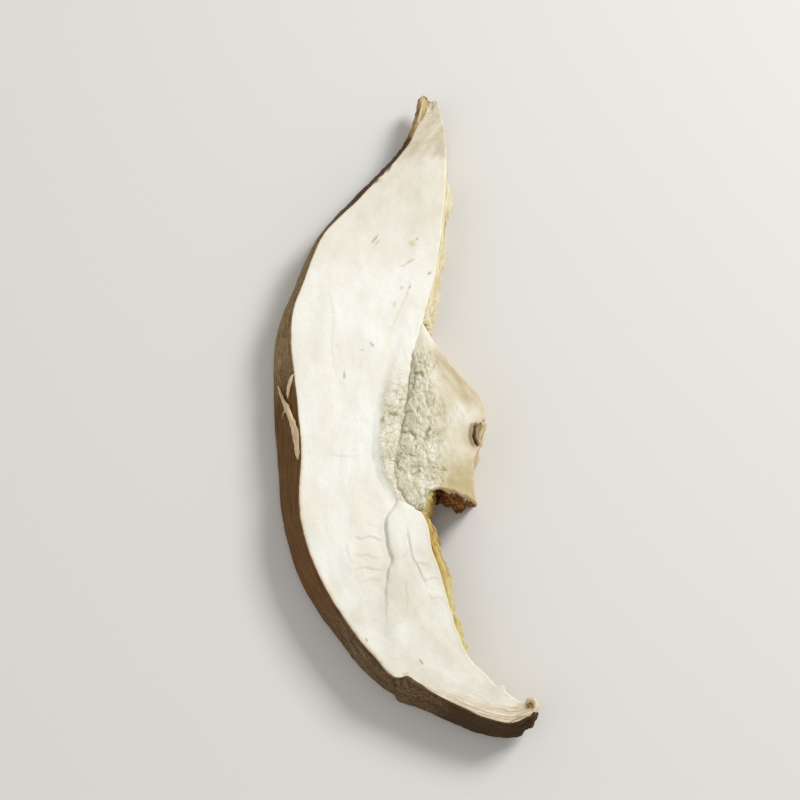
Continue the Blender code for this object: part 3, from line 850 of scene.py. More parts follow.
def make_skin(skin, look):
    """The skin as a thin closed shell: its outer surface, its foot, its inner surface and its cut rim."""
    outer = skin.grid
    course = skin.course
    falls = np.linspace(1, 0, INNER_SKIN_ROWS)
    overlap = eased(FOLD_OVERLAP, course.share)
    thickness = eased(SKIN_THICKNESS_BY_SHARE, course.share)[:, None]
    inset = SKIN_PROUD * (1 - 0.6 * falls) - thickness
    plan = skin_plan(course, falls, inset - overlap[:, None] * below(falls, 0.15, 0.15))
    inner = with_height(plan, skin_heights(course, falls) + LOWEST)
    start, end = inner[:, -1], outer[:, 0]
    rim = []
    for angle in np.radians((30, 60, 90, 120, 150)):
        point = start + (end - start) * (1 - np.cos(angle)) / 2
        point[:, 2] += (0.12 + 0.6 * overlap) * np.sin(angle)
        rim.append(point)
    rim = np.stack(rim, axis=1)
    rim[..., 2] += 0.05 * fractal(rim, (1.5, 1.5, 1.0), 62)
    rings = np.concatenate([outer, inner, rim], axis=1)
    hidden = inner.shape[1] + rim.shape[1]
    lay = np.concatenate([skin.lay, np.repeat(skin.lay[:, :1], hidden, axis=1)], axis=1)
    share = np.repeat(skin.share[:, :1], rings.shape[1], axis=1)
    rim_mask, slit = np.zeros((2, *share.shape))
    rim_mask[:, -rim.shape[1]:] = 1
    rim_mask[:, 0] = 0.6
    slit[:, :SKIN_ROWS] = skin.slits
    drift = share + 0.022 * fractal(lay, (5.0, 1.6, 1.0), 64)
    facts = {
        "upper": below(drift, 0.415, 0.06) * above(drift, 0.12, 0.13),
        "middle": above(drift, 0.355, 0.06) * below(drift, 0.70, 0.1),
        "tan": below(share, 0.088, 0.045),
        "tip": np.maximum(above(drift, 0.82, 0.06), 0.7 * below(drift, 0.22, 0.1)),
        "rim": rim_mask,
        "slit": slit,
    }
    return tube("cap_skin", rings, lay, facts, look, THIN_ROUNDING)


# The gill plates: how many lie below one another, how far the first and the lower ones reach as a part of
# the gills' depth there, how deep they are rooted in the flesh, the pitch of their stations, the stretches of
# the cap that they stand along, and their thickness at the root and at the edge.
GILL_COUNT = 8
GILL_FIRST_REACH = 0.6
GILL_FULL_REACH = 1.08
GILL_ROOT = 0.35
GILL_PITCH = 0.13
GILL_STRETCHES = ((0.04, 0.343), (0.602, 0.95))
GILL_THICKNESS = (0.26, 0.07)

# The points round a gill plate: part of the way out, and side.
GILL_RING = (
    (0, 1), (0.25, 1), (0.5, 1), (0.72, 1), (0.9, 1), (1, 0.6), (1, -0.6), (0.9, -1), (0.72, -1), (0.5, -1),
    (0.25, -1), (0, -1),
)


def gill_plate(ribs, course, level, seed, sunk):
    """Rings round one wavy plate with a ragged edge, at a level from 0 at the top to 1 at the foot."""
    ends = smooth_step(ribs.run / 0.6) * smooth_step((ribs.run[-1] - ribs.run) / 0.6)
    middle = ribs.top + (ribs.base - ribs.top) * level - 0.1
    tears = above(noise(course, 1.9, seed), 0.08, 0.12)
    ragged = 1 - 0.38 * tears - 0.30 * np.abs(noise(course, 0.8, seed + 5)) * ends
    ragged *= 1 + 0.22 * noise(course, 5.0, seed + 7) + 0.22 * noise(course, 0.55, seed + 6)
    widest = GILL_FIRST_REACH + (GILL_FULL_REACH - GILL_FIRST_REACH) * smooth_step(level / 0.45)
    extent = eased(GILL_REACH, ribs.share) * widest
    reach = np.maximum(extent - ribs.lean * level, 0.02) * ragged * (0.3 + 0.7 * ends)
    reach = reach - 0.27 * sunk * (1 - above(level, 0.05, 0.25))
    wave = 0.22 * noise(course, 2.4, seed + 8) + 0.13 * noise(course, 0.9, seed + 9)
    droop = 0.18 + 0.2 * noise(course, 4.0, seed + 10) + 0.15 * level
    rings = []
    for part, side in GILL_RING:
        thick = GILL_THICKNESS[0] + (GILL_THICKNESS[1] - GILL_THICKNESS[0]) * part
        offset = ribs.lean * level - GILL_ROOT + (reach + GILL_ROOT) * part
        height = middle - droop * reach * part**2 + wave * part + side * thick / 2
        height = np.maximum(height, LOWEST * (1 + side))
        rings.append(with_height(ribs.gill + ribs.gill_out * offset[:, None], height))
    return np.stack(rings, axis=1)


def make_gills(look):
    """Thin wavy plates, one below another, along both stretches of the gill side, as one mesh."""
    points, faces, lay = [], [], []
    facts = {"edge": [], "shade": [], "amber": [], "pale": [], "depth": []}
    base = 0
    for stretch, (first, last) in enumerate(GILL_STRETCHES):
        ribs = Ribs(even_shares(first, last, GILL_PITCH))
        course = np.stack([ribs.run, 0 * ribs.run, 0 * ribs.run], axis=-1)
        sunk = np.maximum(above(ribs.share, 0.785, 0.02), below(ribs.share, 0.13, 0.02))
        amber = above(ribs.share, 0.595, 0.01) * below(ribs.share, 0.70, 0.07)
        for number in range(GILL_COUNT):
            seed = 70 + 11 * number + 100 * stretch
            level = (number + 0.3) / (GILL_COUNT - 0.25)
            rings = gill_plate(ribs, course, level, seed, sunk)
            index = np.arange(rings[..., 0].size).reshape(rings.shape[:2])
            quads = ring_quads(index)
            strip = rings.reshape(-1, 3)
            turn = -1 if signed_volume(strip - strip.mean(axis=0), quads.tolist()) < 0 else 1
            block = (quads + base).tolist() + [(index[0, ::-1] + base).tolist(), (index[-1] + base).tolist()]
            faces += [face[::turn] for face in block]
            points.append(strip)
            base += len(strip)
            run, outs = np.broadcast_arrays(ribs.run[:, None], [part for part, _ in GILL_RING])
            lay.append(np.dstack([run, outs, number + 0 * outs]).reshape(-1, 3))
            shade = np.clip(0.5 + 0.5 * noise(course, 3.0, seed + 3) + 0.25 * (-1) ** number, 0, 1)
            values = (outs, shade[:, None], amber[:, None], 1.0 - stretch, level)
            for kept, value in zip(facts.values(), values):
                kept.append(np.broadcast_to(value, outs.shape).ravel())
    facts = {name: np.concatenate(values) for name, values in facts.items()}
    return make_piece("gills", np.concatenate(points), faces, np.concatenate(lay), facts, look)


# How finely the small pieces are divided: points round them, stations along them, and rows down the flap.
STRIP_POINTS = 20
STRIP_STATIONS = 60
FLAP_ROWS = 22

# The small torn pieces on the skin: their places as (share along the cap, part of the way down), how far each
# place stands off the skin, and half widths, half thicknesses and the lift of the edges as (share, value).
SHREDS = {
    "skin_sliver": (
        ((0.388, 0.56), (0.401, 0.40), (0.417, 0.28), (0.434, 0.15), (0.454, 0.05), (0.482, -0.02)),
        (0.02, 0.22, 0.30, 0.28, 0.22, 0.10),
        (
            (0.0, 0.05), (0.12, 0.2), (0.35, 0.3), (0.5, 0.48), (0.62, 0.42), (0.8, 0.6), (0.93, 0.42),
            (1.0, 0.08),
        ),
        ((0.0, 0.05), (0.3, 0.16), (0.8, 0.2), (1.0, 0.08)),
        ((0.0, 0.0), (0.5, -0.1), (1.0, 0.0)),
    ),
    "sliver_hair": (
        ((0.428, 0.22), (0.427, 0.34), (0.432, 0.43)),
        (0.25, 0.32, 0.22),
        ((0.0, 0.09), (1.0, 0.03)),
        ((0.0, 0.09), (1.0, 0.03)),
        ((0.0, 0.0), (1.0, 0.0)),
    ),
    "flesh_flake": (
        ((0.385, 0.0), (0.392, 0.02), (0.402, 0.10), (0.413, 0.17)),
        (-0.25, 0.14, 0.28, 0.16),
        ((0.0, 0.2), (0.4, 0.32), (0.8, 0.2), (1.0, 0.05)),
        ((0.0, 0.05), (0.3, 0.16), (0.8, 0.2), (1.0, 0.08)),
        ((0.0, 0.0), (0.5, -0.1), (1.0, 0.0)),
    ),
}

# The shred at the foot of the arch: the way it faces, and its upper and lower edges.
FLAP_FACING = (1.0, 0.15, 0.0)
FLAP_TOP = ((3.9, -12.4, 5.45), (3.65, -13.4, 5.55), (3.2, -14.5, 5.45), (2.6, -15.6, 5.2), (2.6, -16.6, 4.9))
FLAP_FOOT = ((4.2, -12.7, 2.2), (4.3, -13.7, 2.0), (4.0, -14.9, 2.2), (3.4, -16.2, 2.6), (3.2, -17.0, 3.0))

# The pit in the stem, from end to end.
PIT_LINE = ((9.4, -4.2), (9.2, -5.0), (9.1, -5.8), (9.3, -6.6), (9.7, -7.4))

# Rolled edges: the places along each, its radius as (share, value), its slot, and its look with the colours.
CURLS = {
    "stem_knob": (
        ((9.9, -4.0, 5.4), (10.3, -4.6, 5.5), (10.1, -5.4, 5.4), (9.9, -6.2, 5.15), (10.0, -7.1, 4.8)),
        ((0.0, 0.10), (0.3, 0.36), (0.6, 0.32), (0.85, 0.30), (1.0, 0.10)),
        "stem_flesh", "stem_knob", (222, 204, 162), (186, 154, 104), (150, 116, 74),
    ),
    "curled_margin": (
        (
            (12.9, -41.85, 4.85), (14.1, -41.15, 5.1), (15.1, -40.9, 5.2), (15.8, -40.6, 5.25),
            (16.05, -40.0, 5.35), (15.85, -39.45, 5.45), (15.45, -39.25, 5.4), (15.05, -39.5, 5.2),
            (14.85, -39.95, 4.9),
        ),
        ((0.0, 0.06), (0.25, 0.24), (0.5, 0.34), (0.8, 0.32), (1.0, 0.12)),
        "cap_flesh", "rolled_margin", (232, 217, 188), (204, 178, 136), (190, 160, 116),
    ),
    # A dark tube in the hollow under the curled margin: painted shadow.
    "curl_cup": (
        ((14.9, -40.3, 4.75), (15.2, -40.05, 4.95), (15.5, -39.8, 4.95), (15.75, -39.6, 4.7)),
        ((0.0, 0.12), (0.5, 0.46), (1.0, 0.12)),
        "cap_flesh", "curl_cup", (162, 136, 92), (126, 98, 56), (112, 86, 50),
    ),
}

# The stem's divisions, its length, how far the outer foot of its torn end is drawn in, and the distances of
# the rows that lie hidden under the cap's flesh.
STEM_STATIONS = 190
STEM_VISIBLE_ROWS = 92
STEM_WALL_LEVELS = 44
STEM_LENGTH = 23.0
STEM_END_TUCK = 1.7
HIDDEN_ROWS = (0.9, 0.6, 0.35, 0.15)


def stem_grid(ribs, station):
    """Places in plan from under the cap's flesh to the stem's outer edge, with their part of the way across
    and their distances from the joint and from the edge."""
    edge = curve_through(STEM_EDGE, station)
    width = np.linalg.norm(edge - ribs.gill, axis=1)[:, None]
    towards = (edge - ribs.gill) / width
    near = np.array(EDGE_ROWS[::-1]) / width
    inner = np.linspace(0, 1, STEM_VISIBLE_ROWS - len(EDGE_ROWS) + 1)[:-1]
    across = np.hstack([(1 - near[:, :1]) * inner, 1 - near])
    hidden = np.broadcast_to(HIDDEN_ROWS, (len(station), len(HIDDEN_ROWS)))
    distance = np.hstack([-hidden, across * width])
    plan = ribs.gill[:, None] + towards[:, None] * distance[..., None]
    across = np.clip(distance / width, 0, 1)
    arch = np.clip((station - ARCH_START) / (1 - ARCH_START), 0, 1) ** 2
    plan[..., 1] += arch[:, None] * eased(ARCH_RISE, across)
    return plan, across, distance, (1 - across) * width


def add_pit(height, plan, points):
    """Sinks the pit into the stem and raises its rim, and returns where both show."""
    offset, along = nearest_on(PIT_LINE, plan)
    offset = offset + 0.10 * noise(points, 0.5, 77)
    fade = smooth_step(along * 5) * smooth_step((1 - along) * 5)
    pit = np.exp(-((offset / 0.2) ** 4)) * fade
    rim = bell(np.abs(offset) - 0.36, 0.16) * fade
    height += 0.26 * rim - 0.5 * pit
    return pit, np.clip(rim, 0, 1)


def stem_upper(joint):
    """The stem's upper face as a grid of points, and the facts that its colour follows."""
    station = np.linspace(0, 1, STEM_STATIONS)
    ribs = Ribs(STEM_SPAN[0] + (STEM_SPAN[1] - STEM_SPAN[0]) * station)
    plan, across, distance, from_edge = stem_grid(ribs, station)
    along, share = (np.broadcast_to(value[:, None], across.shape) for value in (station, ribs.share))
    from_joint = np.clip(distance, 0, None)
    from_end = (1 - along) * STEM_LENGTH
    points = with_height(plan, 0.0)
    x, y = plan[..., 0], plan[..., 1]
    patch = np.clip(0.5 + 0.5 * fractal(points, 3.0, 90), 0, 1)

    height = STEM_TOP + STEM_CROWN * np.sin(np.pi * across) * np.sin(np.pi * along)
    height = height - 0.5 * below(along, 0.16, 0.16)
    dent = bell(np.linalg.norm(plan - STEM_DENT, axis=-1), STEM_DENT_RADIUS)
    height -= STEM_DENT_DEPTH * dent
    pit, pit_rim = add_pit(height, plan, points)
    height += 0.06 * fractal(points, (3.0, 4.0, 1.0), 5) + 0.012 * fractal(points, 0.75, 7)

    border = 3.6 + 1.1 * below(y, -5, 3) - 0.9 * below(y, -9.0, 2.5)
    border = border + 0.5 * fractal(points, 0.9, 82) - 1.1 * above(y, 2, 4)
    past_border = x - border - 0.8 * fractal(points, 2.2, 81)
    smooth_zone = smooth_step(past_border / (1.5 + 0.9 * below(y, -8, 2)))
    start = above(from_joint, 0.02, 0.2) * above(along, 0.09, 0.10)
    crumbly = start * (1 - 0.93 * smooth_zone) * smooth_step(from_edge / 0.8 + 0.25)
    relief, cracks = crumbs(plan)
    height += 0.3 * crumbly * relief
    strings = fractal(np.dstack([x + 0.22 * y, y, 0 * x]), (0.55, 4.5, 1.0), 79)
    height += 0.10 * strings * above(along, 0.04, 0.08) * above(y, -6.0, 6) * (1 - smooth_zone)
    strands = np.dstack([x * 0.8 + y * 0.6, y * 0.8 - x * 0.6, 0 * x])
    grain = np.clip(0.5 + 0.8 * fractal(strands, (0.7, 4.5, 1.0), 85), 0, 1)
    height += 0.03 * smooth_zone * fractal(strands, (1.6, 6.0, 1.0), 84)
    height += 0.08 * smooth_zone * fractal(points, (2.2, 2.8, 1.0), 87)
    cracked = bell(np.linalg.norm((plan - CRACKED_PLACE) / CRACKED_SIZE, axis=-1), 1)
    height += 0.16 * cracked * relief * smooth_zone

    crease, depth = crease_at_joint(points, share, from_joint, 0.25)
    height -= depth
    gap = np.interp(ribs.share, *joint) - height[:, len(HIDDEN_ROWS)]
    height += gap[:, None] * bell(from_joint, 0.8 + 1.5 * (1 - smooth_step(along / 0.2)))
    height -= rounded_drop(from_edge, EDGE_RADIUS)
    height -= rounded_drop(from_end, 0.28)
    buried = np.clip(-distance, 0, None)
    height -= 0.9 * buried**0.8 + 0.1 * (buried > 0)
    height += 0.14 * bell(from_end - 0.45, 0.4) * above(across, 0.18, 0.06)

    tanned = smooth_step((x + 0.62 * y - 5.7 + 1.4 * (patch - 0.5)) / 1.7)
    wide_rim = bell(from_edge, 1.1 + 0.9 * patch) * below(y, 5.5, 3)
    facts = {
        "crumb": crumbly,
        # Olive tint and painted shade in the crumb's crevices and cracks.
        "crevice_tint_and_shade": np.clip(crumbly * cracks + 0.6 * cracked * smooth_zone * cracks, 0, 1),
        "pit": pit,
        "pit_rim": pit_rim,
        "tanned": tanned * below(y, 6.4, 3) * above(y, -3.8, 3),
        # Painted shade in the crease where the stem meets the cap.
        "olive_line_and_crease_shade": crease * bell(from_joint, 0.16) * (distance >= 0),
        "rim": np.maximum(bell(from_edge, 0.28) * above(along, 0.05, 0.1), 0.3 * wide_rim),
        "low": smooth_step((-7.5 - y + 2.5 * (patch - 0.5)) / 4.5) * above(x, 3.5, 2.5),
        "lip": bell(from_end, 0.35) * above(across, 0.2, 0.04),
        "ochre": mark(plan, FLESH_MARKS["ochre"]),
        "torn": 0 * across,
        "husk": 0 * across,
        "grain": grain,
        # Painted shade in the dent by the knob, olive-brown.
        "dent": dent,
    }
    return with_height(plan, height), points, facts


def rim_places(rows, columns):
    """Grid places once round its edge."""
    places = [(0, column) for column in range(columns - 1)]
    places += [(row, columns - 1) for row in range(rows - 1)]
    places += [(rows - 1, column) for column in range(columns - 1, 0, -1)]
    places += [(row, 0) for row in range(rows - 1, 0, -1)]
    return np.array(places)


def stem_wall(upper, lower, rim):
    """The stem's side and torn end as rows of points down from the rim, and where the end is torn."""
    rows, columns = upper.shape[:2]
    at_end = rim[0] == rows - 1
    at_outer = (rim[1] == columns - 1) & ~at_end
    start, end = upper[rim], lower[rim]
    level = np.linspace(0, 1, STEM_WALL_LEVELS + 2)[1:-1][:, None]
    column = (rim[1] / (columns - 1))[None]
    wall = start + (end - start) * level[..., None]
    out = outward(start[:, :2], upper[..., :2].reshape(-1, 2).mean(axis=0))
    out[at_end] = (0.0, -1.0)

    face = wall[..., [0, 2]]
    warp = np.stack([noise(wall, 1.2, 95), noise(wall, 1.2, 96)], axis=-1)
    coarse, gap, _ = grains(face + 0.3 * warp, (0.75, 0.6), 97)
    fine, _, _ = grains(face + 0.2 * warp, (0.32, 0.3), 98)
    grain = 0.34 - 0.5 * coarse**2 - 0.16 * fine**2 - 0.25 * bell(gap, 0.16)
    middle = np.sin(np.pi * np.clip(level, 0, 1))
    hollow = middle * bell(column - 0.37, 0.10)
    belly = smooth_step(level * 1.6) * bell(column - 0.70, 0.10)
    end_push = above(level, 0.02, 0.08) * (grain + 0.5 * belly - 1.5 * hollow)
    end_push *= above(column, 0.12, 0.1)
    outer_push = 0.14 * fractal(wall, (2.5, 2.5, 0.9), 99) - 0.25 * middle**2
    corner = above(rim[0] / (rows - 1), 0.955, 0.045)[None]
    side_push = outer_push * (1 - corner) - corner * 0.3 * level
    wall[..., :2] += out[None] * (end_push * at_end + side_push * at_outer)[..., None]
    torn = above(level + 0.10 * fractal(wall, 1.0, 102), 0.05, 0.05) * at_end
    torn = np.maximum(torn, corner * at_outer * above(level, 0.25, 0.2))
    return wall, level, torn, at_outer * above(level, 0.04, 0.08)


def grid_quads(index, corners):
    """Faces between neighbouring point numbers of a grid, with their corners in that order."""
    cells = np.stack([index[:-1, :-1], index[1:, :-1], index[1:, 1:], index[:-1, 1:]], -1)
    return cells.reshape(-1, 4)[:, corners]


def make_stem(joint, look):
    upper, lay, facts = stem_upper(joint)
    rows, columns = upper.shape[:2]
    station, across = np.linspace(0, 1, rows), np.linspace(0, 1, columns)
    lower = upper.copy()
    spread = smooth_step(across * 1.2 - 0.2) ** 2
    lower[..., 0] += 0.25 * spread * np.clip(np.linspace(0, 5, rows), 0, 1)[:, None]
    lower[..., 2] = STEM_LIFT + 0.05 * np.abs(fractal(lay, 2.5, 93))
    lower[..., 0] -= 0.35 * spread
    lower[..., 1] += STEM_END_TUCK * above(station, 0.85, 0.15)[:, None] * above(across, 0.7, 0.3)
    rim = tuple(rim_places(rows, columns).T)
    wall, level, torn, husk = stem_wall(upper, lower, rim)

    count = rows * columns
    grid = np.arange(count).reshape(rows, columns)
    wall_index = np.arange(wall[..., 0].size).reshape(wall.shape[:2]) + 2 * count
    bands = np.concatenate([grid[rim][None], wall_index, grid[rim][None] + count])
    faces = [grid_quads(grid, (0, 1, 2, 3)), grid_quads(grid + count, (0, 3, 2, 1)), ring_quads(bands)]
    points = np.concatenate([part.reshape(-1, 3) for part in (upper, lower, wall)])
    all_lay = np.concatenate([part.reshape(-1, 3) for part in (lay, lower, wall)])
    on_wall = {"torn": torn, "husk": husk}
    all_facts = {}
    for key, fact in facts.items():
        under = np.full(count, 0.3 if key == "crumb" else 0.0)
        beside = on_wall.get(key, fact[rim][None] * (1 - level) ** 2)
        all_facts[key] = np.concatenate([fact.ravel(), under, beside.ravel()])
    return make_piece("stem_flesh", points, orient(points, faces), all_lay, all_facts, look)


def orient(points, blocks):
    """The blocks' faces in one list, each block turned to face away from the piece's middle."""
    middle = points.mean(axis=0)
    faces = []
    for block in blocks:
        a, b, c = (points[block[:, corner]] for corner in range(3))
        facing = np.sum(np.cross(b - a, c - a) * (a - middle)) < 0
        faces += block[:, ::-1].tolist() if facing else block.tolist()
    return faces


def make_strip(name, course, facing, sizes, roughness, look):
    """A long flat piece along the course. Its sizes are half width, half thickness and lift of its edges."""
    lump, seed, rounding = roughness
    side = unit(np.cross(np.gradient(course, axis=0), facing))
    half_width, half_thickness, curl = (size[:, None] for size in sizes)
    angle = np.linspace(0, 2 * np.pi, STRIP_POINTS, endpoint=False)
    wide = half_width * np.cos(angle)
    thick = half_thickness * np.sin(angle) + curl * np.cos(angle) ** 2
    rings = course[:, None] + side[:, None] * wide[..., None] + facing[:, None] * thick[..., None]
    lay = np.dstack([np.broadcast_to(lengths_along(course)[:, None], wide.shape), wide, thick])
    rings += 0.05 * np.stack([fractal(rings, lump, seed + step) for step in range(3)], axis=-1)
    facts = {"edge": np.abs(np.broadcast_to(np.cos(angle), wide.shape))}
    return tube(name, rings, lay, facts, look, rounding)


def make_shreds(skin):
    """The torn strip that lies on the skin, its side hair, and the small flake above it."""
    look = shred_look("torn_strip", (234, 214, 178), (210, 182, 138), (190, 158, 116))
    share = np.linspace(0, 1, STRIP_STATIONS)
    for name, (places, lifts, *stops) in SHREDS.items():
        path, normal = skin.at(*np.transpose(places))
        course = curve_through(path + normal * np.array(lifts)[:, None], share)
        sizes = [eased(stop, share) for stop in stops]
        sizes[0] = sizes[0] * (1 + 0.25 * fractal(course, 0.9, 401))
        facing = unit(curve_through(normal, share))
        make_strip(name, course, facing, sizes, (0.8, 411, THIN_ROUNDING), look)


def make_flap(look):
    """The ochre shred that hangs from the arch down to the lower gills."""
    share = np.linspace(0, 1, STRIP_STATIONS)
    top, foot = curve_through(FLAP_TOP, share), curve_through(FLAP_FOOT, share)
    rows = np.linspace(0, 1, FLAP_ROWS)
    sheet = wall_rows(top, foot, rows)
    crumb, crumb_gap, crumb_value = grains(sheet[..., 1:], (0.6, 0.7), 421)
    wave = 0.25 * fractal(sheet, (0.9, 0.9, 1.2), 424) + 0.35 * (0.4 - crumb**2)
    wave += 0.3 * (crumb_value - 0.5) * smooth_step(crumb_gap / 0.4)
    outer, inner = (sheet + FLAP_FACING * push[..., None] for push in (wave + 0.16, 0.3 * wave - 0.3))
    rings = np.concatenate([outer, inner[:, ::-1]], axis=1)
    rings[..., 2] += 0.22 * fractal(rings, 0.8, 427)
    # The edge fact is 1 at the flap's top and 0 at its foot, so the gills' look paints shade towards the
    # foot.
    edge = np.broadcast_to(np.concatenate([1 - rows, 1 - rows[::-1]]), rings.shape[:2])
    shade = 0.5 + 0.5 * noise(rings, 1.5, 429)
    facts = {"edge": edge, "shade": shade, "amber": 0 * edge + 0.35, "pale": 0 * edge, "depth": 0 * edge}
    return tube("gill_flap", rings, rings.copy(), facts, look, THIN_ROUNDING)


def make_curls():
    """Short rolled edges: tubes along their places that thin towards both ends."""
    share = np.linspace(0, 1, STRIP_STATIONS)
    for name, (places, radius, slot, *looks) in CURLS.items():
        course = curve_through(places, share)
        radius = eased(radius, share) * (1 + 0.2 * noise(course, 0.5, 431))
        facing = np.broadcast_to(np.array([0.0, 0.0, 1.0]), course.shape)
        sizes = (radius, 1.2 * radius, 0 * radius)
        make_strip(name, course, facing, sizes, (0.4, 441, 0.03), shred_look(*looks))


def srgb(red, green, blue):
    """A colour for a shader from 0 to 255 values as a screen shows them."""
    screen = np.array([red, green, blue]) / 255
    linear = np.where(screen <= 0.04045, screen / 12.92, ((screen + 0.055) / 1.055) ** 2.4)
    return (*linear.tolist(), 1.0)


class Look:
    """A material whose nodes are added by short calls. Sockets go in as links, and values as they are.

    A colour is a link or three numbers from 0 to 255 as a screen shows them. The look's colour and bumps are
    built up layer by layer.
    """

    WOBBLE_SCALE = 1.2

    def __init__(self, name, roughness, gloss=0.25):
        self.material = bpy.data.materials.new(name)
        self.material.use_nodes = True
        self.tree = self.material.node_tree
        self.shader = self.tree.nodes["Principled BSDF"]
        self.fill(self.shader, {"Roughness": roughness, "Specular IOR Level": gloss})
        self.lay = self.fact("lay", "Vector")
        self.colour = self.normal = None

    def fill(self, node, inputs):
        """The node, with the links and values put into its inputs."""
        for name, value in inputs.items():
            if isinstance(value, bpy.types.NodeSocket):
                self.tree.links.new(value, node.inputs[name])
            else:
                node.inputs[name].default_value = value
        return node

    def node(self, kind, inputs, operation=None):
        node = self.tree.nodes.new("ShaderNode" + kind)
        if operation:
            node.operation = operation
        return self.fill(node, inputs)

    def fact(self, name, output="Fac"):
        node = self.node("Attribute", {})
        node.attribute_name = name
        return node.outputs[output]

    def stretched(self, size):
        """The places on the piece in sizes, which may differ by axis."""
        return self.node("VectorMath", {0: self.lay, 1: size}, "DIVIDE").outputs[0]

    def noise(self, size, detail=3.0, distortion=0.0):
        """Noise from 0 to 1 with lumps of that many millimetres, which may differ by axis."""
        inputs = {"Vector": self.stretched(size), "Scale": 1.0, "Detail": detail, "Distortion": distortion}
        return self.node("TexNoise", inputs).outputs["Fac"]

    def cracks(self, size, wobble, width):
        """1 along the borders of uneven cells of about that many millimetres, and 0 inside them."""
        place = self.stretched(size)
        wander = self.node("TexNoise", {"Vector": place, "Scale": self.WOBBLE_SCALE}).outputs["Color"]
        moved = self.node("VectorMath", {0: wander, 1: (wobble,) * 3, 2: place}, "MULTIPLY_ADD").outputs[0]
        cells = self.node("TexVoronoi", {"Vector": moved, "Scale": 1.0})
        cells.feature = "DISTANCE_TO_EDGE"
        return self.between(cells.outputs["Distance"], width, 0.0)

    def between(self, value, low, high):
        """The value's place between low and high, clamped from 0 to 1."""
        node = self.node("MapRange", {"Value": value, "From Min": low, "From Max": high})
        node.interpolation_type = "SMOOTHSTEP"
        return node.outputs["Result"]

    def math(self, operation, first, second):
        return self.node("Math", {0: first, 1: second}, operation).outputs[0]

    def times(self, first, second):
        return self.math("MULTIPLY", first, second)

    def plus(self, first, second):
        return self.math("ADD", first, second)

    def mix(self, amount, first, second):
        """The first colour at amount 0, and the second at 1."""
        colours = [srgb(*colour) if isinstance(colour, tuple) else colour for colour in (first, second)]
        node = self.node("Mix", {})
        node.data_type = "RGBA"
        node.clamp_factor = True
        return self.fill(node, {0: amount, 6: colours[0], 7: colours[1]}).outputs[2]

    def graded(self, value, low, high, first, second):
        """The first colour where the value is low, and the second where it is high."""
        return self.mix(self.between(value, low, high), first, second)

    def cover(self, amount, colour):
        """Lays a colour over the look's own, by an amount from 0 to 1."""
        self.colour = self.mix(amount, self.colour, colour)

    def stain(self, fact, strength, colour):
        """Lays a colour over the look's own where the fact is strong."""
        self.cover(self.times(self.fact(fact), strength), colour)

    def fleck(self, value, low, high, strength, colour):
        """Lays a colour over the look's own where the value is high."""
        self.cover(self.times(self.between(value, low, high), strength), colour)

    def bump(self, height, depth):
        """Adds a bump of that many millimetres to the look's bumps."""
        inputs = {"Distance": depth * MM, "Height": height}
        if self.normal:
            inputs["Normal"] = self.normal
        self.normal = self.node("Bump", inputs).outputs["Normal"]

    def finish(self):
        self.fill(self.shader, {"Base Color": self.colour, "Normal": self.normal})
        return self.material


def crumbled(look, strength):
    """Lays the soft olive mottling of the torn flesh over the look, with painted shade in its crevices and
    cracks, and returns its pits.
    """
    soft = look.noise((1.3, 1.7, 1.0), detail=4, distortion=0.4)
    fine = look.noise((0.45, 0.55, 0.4), detail=3)
    crumb = look.graded(soft, 0.38, 0.64, (243, 237, 219), (221, 214, 186))
    crumb = look.mix(look.times(look.between(fine, 0.5, 0.7), 0.4), crumb, (200, 192, 154))
    look.stain("crumb", strength, crumb)
    # Olive tint and painted shade in the crevices.
    look.stain("crevice_tint_and_shade", 0.85, (150, 141, 92))
    # Darker lines along the cells' borders: painted shade in the fine cracks, olive.
    lines = look.times(look.cracks((0.75, 1.1, 1.0), 1.1, 0.085), look.between(soft, 0.66, 0.4))
    lines = look.times(lines, look.fact("crumb"))
    look.cover(look.times(lines, 0.46), (168, 159, 117))
    return look.plus(look.times(fine, look.fact("crumb")), look.times(lines, 0.5))


def flesh_look():
    look = Look("cap_flesh", 0.9)
    cloud = look.noise((7.0, 5.0, 5.0), detail=3, distortion=0.4)
    fibre = look.noise((2.6, 0.35, 0.5), detail=4, distortion=0.6)
    mottle = look.noise((0.8, 0.8, 0.8), detail=6)
    look.colour = look.graded(cloud, 0.35, 0.68, (247, 246, 237), (241, 237, 223))
    look.fleck(fibre, 0.5, 0.8, 0.12, (222, 217, 192))
    look.fleck(mottle, 0.52, 0.75, 0.22, (228, 223, 203))
    look.stain("shade", 0.75, (222, 214, 195))
    # Tan near the tips; on the upper tip's face it is partly painted shade where the tip curls down.
    look.stain("tan", 1.0, look.graded(mottle, 0.35, 0.7, (210, 198, 173), (196, 184, 158)))
    look.stain("lens", 0.85, look.graded(fibre, 0.4, 0.65, (196, 177, 130), (168, 146, 100)))
    pits = crumbled(look, 0.88)
    look.stain("rind", 0.88, look.graded(mottle, 0.3, 0.7, (222, 201, 158), (190, 158, 112)))
    look.stain("gilly", 1.0, (216, 206, 164))
    # Painted shade on the gill wall between the plates, in the gills' amber.
    look.stain("between", 1.0, look.graded(mottle, 0.3, 0.7, (196, 176, 120), (158, 132, 76)))
    # Painted shade in the creases, grooves and under the lobe's edge, and the olive line at the step's foot.
    look.stain("olive_line_and_crease_shade", 0.6, (176, 170, 128))
    look.stain("ochre", 0.6, (200, 192, 134))
    look.stain("dark", 0.62, (132, 124, 84))
    look.stain("spur", 0.8, (92, 74, 52))
    # Painted shadow in the hollow under the curled margin.
    look.stain("cup", 0.9, (150, 112, 56))
    look.stain("rust", 0.8, (206, 142, 100))
    look.stain("brown", 1.0, (92, 68, 48))
    look.bump(look.noise((0.22, 0.18, 0.18), detail=4), 0.05)
    look.bump(pits, -0.06)
    return look.finish()


